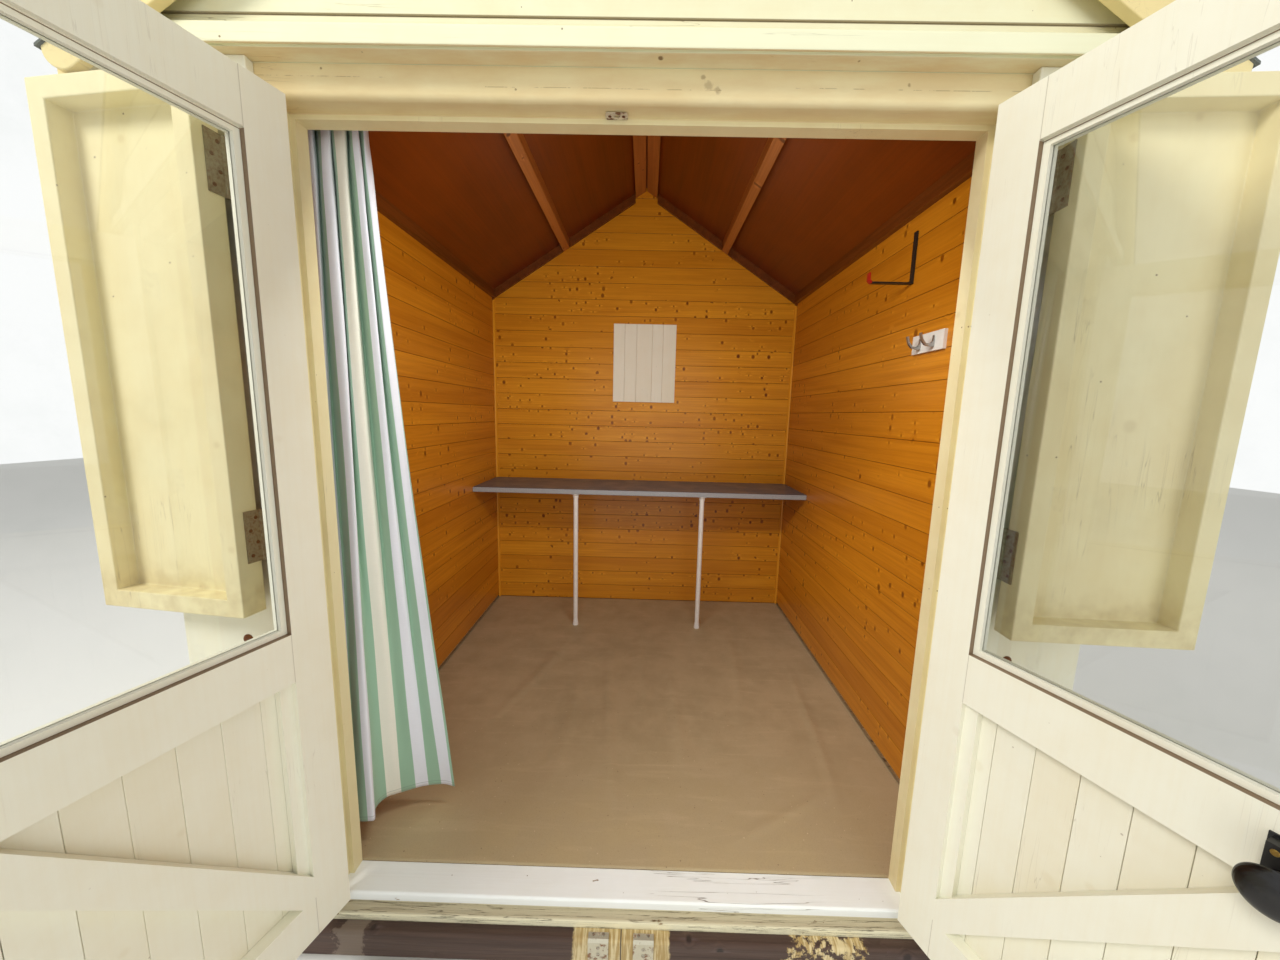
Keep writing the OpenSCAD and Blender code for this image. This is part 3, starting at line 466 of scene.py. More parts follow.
def paintedTimber(name, axis="z", paint="white", staining=0.3, wear=0.35, gloss=0.42, leaf=None, boards=False,
                  swap=None, lines=(), rings=(), cracks=(), dents=(), seams=None, foot=None, streaks=None,
                  warmShade=None):
    # swap: (axis of height, level, other grain axis); lines: (axis, level, axis of length, low, high);
    # rings: (axis, middle, half, axis, middle, half) of a rectangle; foot: (level, reach, amount) of grime
    # cracks: as lines, but broken into dashes; dents: (place, radius, depth) of knot holes and knocks
    # seams: (start, pitch) of the joints between level boards, darkened as painted shade and dirt
    # warmed: (low, high, amount) of painted warm shade, a mottled tan band under the weather ledge
    # streaks: (middle, half width, front plane) of the rust below the hinges
    material, tree, shader = newMaterial(name)
    place, parts = objectPlace(tree, leaf)
    along = grainAlong(tree, parts, axis)
    if swap:
        mask = calc(tree, "GREATER_THAN", onAxis(parts, swap[0]), swap[1])
        along = addNode(tree, "ShaderNodeMix", {0: mask, 4: along, 5: grainAlong(tree, parts, swap[2])},
                        data_type="VECTOR").outputs[1]
    if boards:
        tone = boardTone(tree)
        along = vector(tree, "ADD", along, combine(tree, times(tree, tone, 9.0), times(tree, tone, 5.0), 0.0))
    coat = useEffect(tree, "paint", Vector=along, Paint=paintTones[paint], Stain=paintTones["stain"],
                     Dirt=paintTones["dirt"], Staining=staining, Wear=wear, Gloss=gloss)
    color, height = coat["Color"], coat["Height"]
    if boards:
        color = tint(tree, times(tree, tone, 0.10), color, paintTones["stain"])
    if foot:
        level, reach, amount = foot
        splash = times(tree, spread(tree, parts[2], level, level + reach, 1.0, 0.0),
                       spread(tree, noise(tree, place, 2.6 / reach, 5.0), 0.3, 0.75), amount)
        color = tint(tree, splash, color, tint(tree, 0.35, paintTones["stain"], paintTones["dirt"]))
    # painted warm shade: the paint between the two levels is mottled towards tan
    if warmShade:
        low, high, amount = warmShade
        clouds = noise(tree, stretch(tree, along, (1.0, 4.0, 4.0)), 5.0, 6.0, 0.65)
        tan = times(tree, between(tree, parts[2], low, high), spread(tree, clouds, 0.25, 0.68, 0.35, 1.0),
                    amount)
        color = tint(tree, tan, color, paintTones["tan"])
    if streaks:
        middle, half, front = streaks
        away = calc(tree, "ABSOLUTE", plus(tree, calc(tree, "ABSOLUTE", parts[0]), -middle))
        run = noise(tree, stretch(tree, place, (260.0, 40.0, 2.2)), 1.0, 3.0)
        stain = times(tree, spread(tree, away, half * 0.5, half, 1.0, 0.0),
                      calc(tree, "LESS_THAN", parts[1], front),
                      spread(tree, run, 0.44, 0.62), 0.8)
        color = tint(tree, stain, color, paintTones["rust"])
    marks = []
    for axisName, level, lengthAxis, low, high in lines:
        # a hairline where two pieces meet
        gap = calc(tree, "ABSOLUTE", calc(tree, "SUBTRACT", onAxis(parts, axisName), level))
        marks.append(times(tree, spread(tree, gap, 0.0003, 0.0012, 1.0, 0.0),
                           between(tree, onAxis(parts, lengthAxis), low, high), 0.35))
    for axisA, middleA, halfA, axisB, middleB, halfB in rings:
        # the joint round a glazing bead
        outside = []
        for axisName, middle, half in ((axisA, middleA, halfA), (axisB, middleB, halfB)):
            away = calc(tree, "ABSOLUTE", calc(tree, "SUBTRACT", onAxis(parts, axisName), middle))
            outside.append(calc(tree, "SUBTRACT", away, half))
        gap = calc(tree, "ABSOLUTE", calc(tree, "MAXIMUM", *outside))
        marks.append(times(tree, spread(tree, gap, 0.0003, 0.0013, 1.0, 0.0), 0.9))
    for axisName, level, lengthAxis, low, high in cracks:
        wander = times(tree, calc(tree, "SUBTRACT", noise(tree, place, 3.0, 2.0), 0.5), 0.006)
        gap = calc(tree, "ABSOLUTE", plus(tree, onAxis(parts, axisName), -level, wander))
        dashes = spread(tree, noise(tree, place, 26.0, 4.0, 0.7), 0.47, 0.56)
        within = between(tree, onAxis(parts, lengthAxis), low, high)
        marks.append(times(tree, spread(tree, gap, 0.0002, 0.0012, 1.0, 0.0), dashes, 0.4, within))
    # painted shade and dirt in the joints between the level boards
    if seams:
        start, pitch = seams
        position = plus(tree, parts[2], -start)
        joints = useEffect(tree, "joints", Position=position, Pitch=pitch, Joint=0.0011, Seed=0.0)
        marks.append(times(tree, joints["Joint"], 0.7))
    for spot, radius, depth in dents:
        away = vector(tree, "SUBTRACT", place, spot)
        length = addNode(tree, "ShaderNodeVectorMath", {0: away}, operation="LENGTH").outputs["Value"]
        ragged = calc(tree, "SUBTRACT", noise(tree, place, 160.0, 2.0), 0.5)
        length = plus(tree, length, times(tree, ragged, radius))
        marks.append(spread(tree, length, 0.4 * radius, radius, depth, 0.0))
    for mark in marks:
        color = tint(tree, mark, color, paintTones["dirt"])
        height = calc(tree, "SUBTRACT", height, mark)
    dress(tree, shader, color, coat["Roughness"], relief=(height, 0.0007, 0.7))
    return material


def timber(name, axis, tones, streaks=0.7, knots=1.0, roughness=0.4, joints=None, boards=False, coat=0.0,
           relief=0.0006):
    # joints: (axis across, start, pitch, joint, seed) of dark joints; boards: the piece is made of real boards
    material, tree, shader = newMaterial(name, {"Coat Roughness": 0.2, "Coat Weight": coat})
    place, parts = objectPlace(tree)
    shift, seams = 0.0, None
    if joints:
        across, start, pitch, joint, seed = joints
        position = plus(tree, onAxis(parts, across), -start)
        seams = useEffect(tree, "joints", Position=position, Pitch=pitch, Joint=joint, Seed=seed)
        shift = seams["Tone"]
    if boards:
        shift = boardTone(tree)
    wood = useEffect(tree, "grain", Vector=grainAlong(tree, parts, axis), Shift=shift, Light=tones["light"],
                     Dark=tones["dark"], Knot=tones["knot"], Streaks=streaks, Knots=knots)
    color, height = wood["Color"], wood["Height"]
    rough = plus(tree, roughness - 0.1, times(tree, wood["Figure"], 0.2))
    clouds = spread(tree, noise(tree, place, 1.7, 3.0), 0.35, 0.7)
    color = tint(tree, times(tree, clouds, 0.16), color, tones["dark"])
    if joints or boards:
        color = tint(tree, times(tree, shift, 0.42), color, tones["dark"])
    if joints:
        color = tint(tree, times(tree, seams["Joint"], 0.5 if boards else 0.85), color, sRgb(62, 30, 8))
    if joints and not boards:
        height = plus(tree, height, times(tree, seams["Height"], 2.5))
    dress(tree, shader, color, rough, relief=(height, relief, 0.8))
    return material


def ceilingStain():
    # dark red-brown stain inside, paint on the overhang
    material, tree, shader = newMaterial("stainedCeiling", {"Roughness": 0.4})
    place, parts = objectPlace(tree)
    along = grainAlong(tree, parts, "y")
    wood = useEffect(tree, "grain", Vector=along, Light=sRgb(118, 50, 4), Dark=sRgb(80, 30, 2),
                     Knot=sRgb(60, 24, 4), Streaks=0.6, Knots=0.0)
    clouds = noise(tree, place, 2.4, 5.0)
    color = tint(tree, times(tree, spread(tree, clouds, 0.38, 0.7), 0.5), wood["Color"], sRgb(130, 58, 8))
    pastEnd = calc(tree, "GREATER_THAN", calc(tree, "ABSOLUTE", parts[1]), hut["wallDeep"] - 0.03)
    pastSide = calc(tree, "GREATER_THAN", calc(tree, "ABSOLUTE", parts[0]), hut["wallOut"] - 0.03)
    outside = calc(tree, "MAXIMUM", pastEnd, pastSide)
    coat = useEffect(tree, "paint", Vector=along, Paint=paintTones["cream"], Stain=paintTones["stain"],
                     Dirt=paintTones["dirt"], Staining=0.5, Wear=0.4, Gloss=0.45)
    dress(tree, shader, tint(tree, outside, color, coat["Color"]), relief=(wood["Height"], 0.0004, 0.6))
    return material


def trimFinish():
    # dark stained mouldings under the roof, honey-coloured beads in the corners
    material, tree, shader = newMaterial("roomTrim", {"Coat Weight": 0.2, "Coat Roughness": 0.2})
    parts = objectPlace(tree)[1]
    fall = times(tree, calc(tree, "ABSOLUTE", parts[0]), -hut["slope"])
    below = plus(tree, hut["ridge"], fall, times(tree, parts[2], -1.0))
    upright = calc(tree, "GREATER_THAN", below, 0.055)
    dark = useEffect(tree, "grain", Vector=grainAlong(tree, parts, "y"), Light=redwood["light"],
                     Dark=redwood["dark"], Knot=redwood["knot"], Streaks=0.8, Knots=0.0)
    light = useEffect(tree, "grain", Vector=grainAlong(tree, parts, "z"), Light=honey["light"],
                      Dark=honey["dark"], Knot=honey["knot"], Streaks=0.5, Knots=0.0)
    color = tint(tree, upright, dark["Color"], light["Color"])
    rough = spread(tree, dark["Figure"], 0.3, 0.7, 0.3, 0.5)
    dress(tree, shader, color, rough, relief=(dark["Height"], 0.0005, 0.6))
    return material


def floorSheetFinish():
    # khaki sheet with scuffs, drag marks, blown sand and a painted pool of daylight by the doorway
    material, tree, shader = newMaterial("floorSheet")
    place, parts = objectPlace(tree)
    scuffs = noise(tree, place, 6.0, 6.0, 0.62)
    drags = noise(tree, stretch(tree, place, (3.0, 26.0, 1.0)), 1.0, 4.0, 0.6, 1.0)
    fine = noise(tree, place, 520.0, 2.0)
    grain = spots(tree, place, (52.0, 52.0), 0.10, 0.0005, 0.0014)
    color = tint(tree, spread(tree, scuffs, 0.3, 0.72), sRgb(182, 164, 130), sRgb(167, 150, 117))
    color = tint(tree, times(tree, spread(tree, drags, 0.5, 0.78), 0.35), color, sRgb(204, 184, 148))
    # paler towards the doorway: sand blown in, and a painted pool of daylight
    front = spread(tree, parts[1], -hut["roomDeep"], -0.25, 1.0, 0.0)
    color = tint(tree, times(tree, front, spread(tree, scuffs, 0.35, 0.65), 0.35), color, sRgb(208, 186, 142))
    color = tint(tree, times(tree, spread(tree, fine, 0.45, 0.7), 0.22), color, sRgb(140, 120, 90))
    outside = calc(tree, "SUBTRACT", grain["length"], grain["radius"])
    specks = times(tree, spread(tree, outside, 0.0, 0.0008, 1.0, 0.0), grain["there"])
    shade = tint(tree, calc(tree, "GREATER_THAN", grain["dice"], 0.55), sRgb(112, 92, 66), sRgb(224, 208, 172))
    color = tint(tree, times(tree, specks, 0.7), color, shade)
    rough = spread(tree, scuffs, 0.3, 0.7, 0.5, 0.68)
    height = plus(tree, times(tree, fine, 0.3), times(tree, specks, 0.8), times(tree, scuffs, 0.6))
    dress(tree, shader, color, rough, relief=(height, 0.0008, 0.7))
    return material


def sillFinish():
    # white paint on the sill, chipped on the edge; the step has yellowed and split in long lines
    material, tree, shader = newMaterial("wornSill")
    place, parts = objectPlace(tree)
    along = grainAlong(tree, parts, "x")
    coat = useEffect(tree, "paint", Vector=along, Paint=sRgb(246, 250, 250), Stain=sRgb(222, 220, 200),
                     Dirt=sRgb(104, 78, 48), Staining=0.25, Wear=0.8, Gloss=0.4)
    wood = useEffect(tree, "grain", Vector=along, Light=sRgb(172, 134, 84), Dark=sRgb(110, 80, 48),
                     Knot=sRgb(64, 42, 24), Streaks=0.8, Knots=0.3)
    step = calc(tree, "LESS_THAN", parts[2], hut["step"] + 0.004)
    yellowed = tint(tree, times(tree, step, 0.75), coat["Color"], sRgb(238, 228, 182))
    splits = noise(tree, stretch(tree, place, (2.2, 120.0, 120.0)), 1.0, 4.0, 0.6, 0.8)
    middle = calc(tree, "ABSOLUTE", calc(tree, "SUBTRACT", splits, 0.5))
    line = times(tree, spread(tree, middle, 0.002, 0.009, 1.0, 0.0), step)
    flakes = noise(tree, stretch(tree, place, (9.0, 24.0, 24.0)), 1.0, 7.0, 0.7)
    bare = plus(tree, times(tree, spread(tree, flakes, 0.63, 0.65), step),
                times(tree, spread(tree, flakes, 0.70, 0.72), calc(tree, "SUBTRACT", 1.0, step)))
    color = tint(tree, times(tree, bare, 0.9), yellowed, wood["Color"])
    color = tint(tree, times(tree, line, 0.8), color, sRgb(96, 72, 46))
    # darker brown along the corner under the nosing
    corner = calc(tree, "ABSOLUTE", calc(tree, "SUBTRACT", parts[2], hut["step"]))
    color = tint(tree, times(tree, spread(tree, corner, 0.0, 0.006, 1.0, 0.0), 0.55), color, sRgb(120, 98, 64))
    height = plus(tree, coat["Height"], times(tree, bare, -0.8), times(tree, line, -1.2))
    dress(tree, shader, color, coat["Roughness"], relief=(height, 0.0016, 0.9))
    return material


# Worn places of the board in front of the sill: middle, half width and how ragged the edge is
outerSill = {"sandy": (0.0, 0.118, 0.25), "peeled": (0.50, 0.09, 1.0), "rubbed": (-0.66, 0.035, 1.0)}


def outerSillFinish(values):
    # bare board gone purplish brown, sandy where the doors meet, peeled at the right, rubbed pale at the left
    material, tree, shader = newMaterial("weatheredSill")
    place, parts = objectPlace(tree)
    along = grainAlong(tree, parts, "x")
    wood = useEffect(tree, "grain", Vector=along, Light=sRgb(84, 65, 55), Dark=sRgb(50, 36, 32),
                     Knot=sRgb(38, 27, 24), Streaks=0.9, Knots=0.3)
    ragged = times(tree, calc(tree, "SUBTRACT", noise(tree, place, 22.0, 6.0, 0.7), 0.5), 0.12)
    smears = noise(tree, stretch(tree, place, (190.0, 14.0, 14.0)), 1.0, 3.0, 0.6)
    sandy = tint(tree, spread(tree, smears, 0.42, 0.62), sRgb(176, 150, 96), sRgb(216, 200, 156))

    def within(middle, half, soft):
        away = calc(tree, "ABSOLUTE", calc(tree, "SUBTRACT", parts[0], middle))
        return spread(tree, plus(tree, away, times(tree, ragged, soft)), half - 0.004, half + 0.004, 1.0, 0.0)

    flakes = spread(tree, noise(tree, place, 42.0, 7.0, 0.65), 0.45, 0.53)
    color = tint(tree, times(tree, within(*values["sandy"]), 0.9), wood["Color"], sandy)
    color = tint(tree, times(tree, within(*values["peeled"]), flakes), color, sandy)
    color = tint(tree, times(tree, within(*values["rubbed"]), 0.4), color, sRgb(160, 144, 126))
    joint = times(tree, spread(tree, calc(tree, "ABSOLUTE", parts[0]), 0.0006, 0.0018, 1.0, 0.0), 0.9)
    color = tint(tree, joint, color, sRgb(60, 44, 36))
    rough = spread(tree, wood["Figure"], 0.3, 0.7, 0.55, 0.8)
    height = plus(tree, wood["Height"], times(tree, ragged, 5.0), times(tree, joint, -2.0))
    dress(tree, shader, color, rough, relief=(height, 0.0018, 0.9))
    return material


def feltFinish():
    # mineral felt: sharp grit, paler where the weather has washed it
    material, tree, shader = newMaterial("mineralFelt", {"Roughness": 0.86})
    place = objectPlace(tree)[0]
    grit = noise(tree, place, 620.0, 2.0, 0.7)
    clouds = noise(tree, stretch(tree, place, (1.0, 3.0, 1.0)), 2.6, 5.0, 0.6)
    color = tint(tree, spread(tree, grit, 0.35, 0.7), sRgb(58, 66, 62), sRgb(108, 116, 108))
    color = tint(tree, times(tree, spread(tree, clouds, 0.4, 0.7), 0.45), color, sRgb(128, 130, 116))
    dress(tree, shader, color, relief=(grit, 0.0012, 0.9))
    return material


def metalFinish(name, metal, rust, amount, scale=60.0, metallic=0.85, soft=0.09):
    # metal or its coating, with rust over part of it
    material, tree, shader = newMaterial(name)
    place = objectPlace(tree)[0]
    bloom = useEffect(tree, "rust", Vector=place, Metal=metal, Rust=rust, Amount=amount, Scale=scale, Soft=soft)
    bare = times(tree, calc(tree, "SUBTRACT", 1.0, bloom["Mask"]), metallic)
    dress(tree, shader, bloom["Color"], bloom["Roughness"], bare, (bloom["Height"], 0.0005, 0.8))
    return material


def lacquerFinish(name, color, worn, roughness=0.24):
    # smooth lacquer with fine scratches that dull it
    material, tree, shader = newMaterial(name)
    place = objectPlace(tree)[0]
    smears = noise(tree, place, 34.0, 5.0, 0.6)
    scratches = noise(tree, stretch(tree, place, (60.0, 900.0, 200.0)), 1.0, 2.0)
    shade = tint(tree, times(tree, spread(tree, scratches, 0.62, 0.78), 0.5), color, worn)
    shade = tint(tree, times(tree, spread(tree, smears, 0.4, 0.7), 0.25), shade, worn)
    dull = plus(tree, roughness, times(tree, smears, 0.22))
    dress(tree, shader, shade, dull, relief=(smears, 0.0003, 0.4))
    return material


def laminateFinish():
    # grey flecked top, pale edge
    material, tree, shader = newMaterial("greyLaminate")
    place, parts = objectPlace(tree)
    fleck = noise(tree, place, 420.0, 2.0)
    smears = noise(tree, place, 7.0, 4.0)
    top = calc(tree, "GREATER_THAN", parts[2], hut["worktop"] - 0.0015)
    flecks = spread(tree, fleck, 0.4, 0.65)
    topColor = tint(tree, flecks, sRgb(84, 92, 104), sRgb(106, 114, 124))
    edgeColor = tint(tree, flecks, sRgb(150, 154, 158), sRgb(172, 176, 178))
    rough = spread(tree, smears, 0.3, 0.7, 0.28, 0.46)
    dress(tree, shader, tint(tree, top, edgeColor, topColor), rough, relief=(fleck, 0.0002, 0.5))
    return material


# Where the bracket begins, where its coloured end begins, and the face of the hook board
hookPlan = {"bracket": -0.36, "tip": 0.781, "boardFace": 0.9095}


def hookFinish(values):
    # black storage bracket with a red end, white hook board and bright hooks, told apart by where they are
    material, tree, shader = newMaterial("wallHooks")
    place, parts = objectPlace(tree)
    bracket = calc(tree, "GREATER_THAN", parts[1], values["bracket"])
    tip = times(tree, bracket, calc(tree, "LESS_THAN", parts[0], values["tip"]))
    raised = calc(tree, "LESS_THAN", parts[0], values["boardFace"])
    hooks = times(tree, raised, calc(tree, "SUBTRACT", 1.0, bracket))
    grime = noise(tree, place, 60.0, 4.0)
    white = tint(tree, times(tree, grime, 0.3), sRgb(236, 234, 228), sRgb(176, 168, 150))
    color = tint(tree, hooks, white, sRgb(178, 180, 180))
    color = tint(tree, bracket, color, tint(tree, grime, sRgb(16, 16, 17), sRgb(42, 41, 40)))
    color = tint(tree, tip, color, sRgb(150, 26, 20))
    rough = spread(tree, grime, 0.3, 0.7, 0.3, 0.45)
    dress(tree, shader, color, rough, times(tree, hooks, 0.9), (grime, 0.0003, 0.4))
    return material


def glassFinish():
    # thin salt haze that the sea air leaves on the panes
    material, tree, shader = newMaterial("clearGlass", {"IOR": 1.45, "Transmission Weight": 1.0})
    salt = noise(tree, objectPlace(tree)[0], 4.0, 6.0, 0.7)
    color = tint(tree, spread(tree, salt, 0.45, 0.8), (0.97, 0.985, 0.975, 1), (0.90, 0.925, 0.91, 1))
    dress(tree, shader, color, spread(tree, salt, 0.55, 0.85, 0.01, 0.06))
    return material


def clothFinish(values):
    # sage and off-white stripes laid out along the cloth's own width, and a turned and stitched hem
    plain = {"Roughness": 0.9, "Sheen Weight": 0.25, "Sheen Roughness": 0.5}
    material, tree, shader = newMaterial("stripedCotton", plain)
    clothMap = addNode(tree, "ShaderNodeUVMap", uv_map="cloth").outputs[0]
    parts = split(tree, clothMap)
    weave = useEffect(tree, "weave", Vector=clothMap, Thread=0.0011)
    across = calc(tree, "DIVIDE", plus(tree, parts[0], values["firstStripe"]), 2 * values["stripe"])
    band = calc(tree, "ABSOLUTE", calc(tree, "SUBTRACT", calc(tree, "FRACT", across), 0.5))
    stripe = spread(tree, band, 0.247, 0.253)
    faded = noise(tree, stretch(tree, clothMap, (6.0, 2.0, 1.0)), 1.0, 4.0)
    green = tint(tree, faded, sRgb(148, 186, 158), sRgb(164, 200, 174))
    white = tint(tree, faded, sRgb(244, 245, 255), sRgb(234, 235, 246))
    creamy = between(tree, calc(tree, "FLOOR", across), 1.5, 2.5)  # the third pair has yellowed
    white = tint(tree, times(tree, creamy, 0.8), white, sRgb(246, 242, 222))
    color = tint(tree, stripe, white, green)
    color = tint(tree, times(tree, weave["Tone"], 0.14), color, sRgb(150, 160, 150))
    depth = calc(tree, "ABSOLUTE", plus(tree, parts[1], values["top"] - values["hem"] - values["hemTurn"]))
    color = tint(tree, spread(tree, depth, 0.0005, 0.0016, 0.45, 0.0), color, sRgb(120, 130, 122))
    dress(tree, shader, color, relief=(weave["Height"], 0.0004, 0.6))
    return material


curtain = {
    "width": 0.400,
    "stripe": 0.040,
    "firstStripe": 0.0093,
    "top": 2.055,
    "hem": 0.244,
    "hemTurn": 0.014,
    "lean": 0.003,
    "pinch": (0.0022, 0.07),
    "sway": (0.0024, 0.0008),
    "thick": 0.0009,
    "rows": 160,
    "columns": 290,
    # where the folds stand in plan, from the left edge to the right edge, at the wire and at the hem
    "atWire": [(-0.758, -0.834), (-0.7465, -0.860), (-0.7275, -0.862), (-0.742, -0.830),
               (-0.713, -0.861), (-0.690, -0.862), (-0.708, -0.830), (-0.682, -0.862),
               (-0.657, -0.863), (-0.672, -0.830), (-0.642, -0.860), (-0.627, -0.860),
               (-0.648, -0.832), (-0.624, -0.852), (-0.617, -0.842), (-0.622, -0.830)],
    "atHem": [(-0.794, -0.800), (-0.790, -0.822), (-0.772, -0.838), (-0.751, -0.846),
              (-0.729, -0.847), (-0.7105, -0.840), (-0.730, -0.802), (-0.7215, -0.768),
              (-0.699, -0.7525), (-0.676, -0.7405), (-0.653, -0.730), (-0.630, -0.7205),
              (-0.606, -0.714), (-0.582, -0.7115), (-0.558, -0.713), (-0.534, -0.718)],
}
honey = {"light": sRgb(233, 163, 40), "dark": sRgb(180, 106, 8), "knot": sRgb(96, 38, 4)}
# a darker copy of the honey, as painted shade on the side walls
shadedHoney = {"light": sRgb(220, 146, 32), "dark": sRgb(164, 92, 6), "knot": sRgb(88, 34, 4)}
orange = {"light": sRgb(186, 116, 54), "dark": sRgb(134, 74, 28), "knot": sRgb(70, 32, 10)}
redwood = {"light": sRgb(122, 64, 22), "dark": sRgb(72, 34, 10), "knot": sRgb(58, 26, 8)}
deckPine = {"light": sRgb(178, 146, 104), "dark": sRgb(128, 98, 64), "knot": sRgb(66, 44, 26)}
weathered = {"light": sRgb(124, 106, 92), "dark": sRgb(80, 66, 58), "knot": sRgb(46, 36, 32)}
# Joints of a door leaf: where the rails meet the stiles, and the beads round the glass
paneLeft, paneRight = leafPlan["panel"]
paneLow, paneHigh = leafPlan["lockRail"][1], leafPlan["topRail"]
railHeights = (leafPlan["lockRail"], (leafPlan["topRail"], 2.0), (0.1, leafPlan["lowRail"]))
leafMarks = {
    "lines": [("x", r, "z", low, high) for r in leafPlan["panel"] for low, high in railHeights],
    "rings": [("x", (paneLeft + paneRight) / 2, (paneRight - paneLeft) / 2,
               "z", (paneLow + paneHigh) / 2, (paneHigh - paneLow) / 2)],
}
cladding = {
    "start": 0.140,
    "pitch": 0.121,
    "gap": 0.0012,
    "thick": 0.0092,
    "sunk": 0.0002,
    "cove": 0.019,
    "coveDepth": 0.0078,
    "edge": 0.0012,
    "uneven": 0.0006,
    "sideLength": 1.86,
    "sideMiddle": -0.052,
    "backLength": 1.824,
}
gableCladding = {
    "start": 2.003,
    "low": 2.100,
    "front": -0.9965,
    "length": 1.86,
    "gap": 0.0007,
    "cove": 0.010,
    "coveDepth": 0.003,
}
shiplapSeams = (cladding["start"], cladding["pitch"])
gableSeams = (gableCladding["start"], cladding["pitch"])
headCracks = [("z", 2.036, "x", -0.86, -0.47), ("z", 2.022, "x", -0.30, 0.16), ("z", 2.028, "x", 0.30, 0.80)]
headDents = [
    ((0.135, -0.980, 2.030), 0.011, 0.32), ((0.152, -0.980, 2.022), 0.008, 0.4),
    ((0.124, -0.980, 2.044), 0.006, 0.45), ((-0.62, -0.980, 2.050), 0.003, 0.7),
    ((0.52, -0.980, 2.036), 0.004, 0.5), ((-0.24, -0.980, 2.018), 0.003, 0.6),
]
ledgeDents = [
    ((0.040, -1.006, 2.058), 0.0062, 0.9), ((-0.14, -1.0305, 2.086), 0.0022, 0.8),
    ((-0.77, -1.0305, 2.066), 0.0026, 0.8), ((0.41, -1.006, 2.058), 0.0030, 0.6),
    ((-0.52, -1.010, 2.058), 0.0026, 0.6),
]


def groundGrime(amount):
    # splashes that start at the foot of the walls and reach up them
    return hut["floor"] - 0.04, 0.34, amount


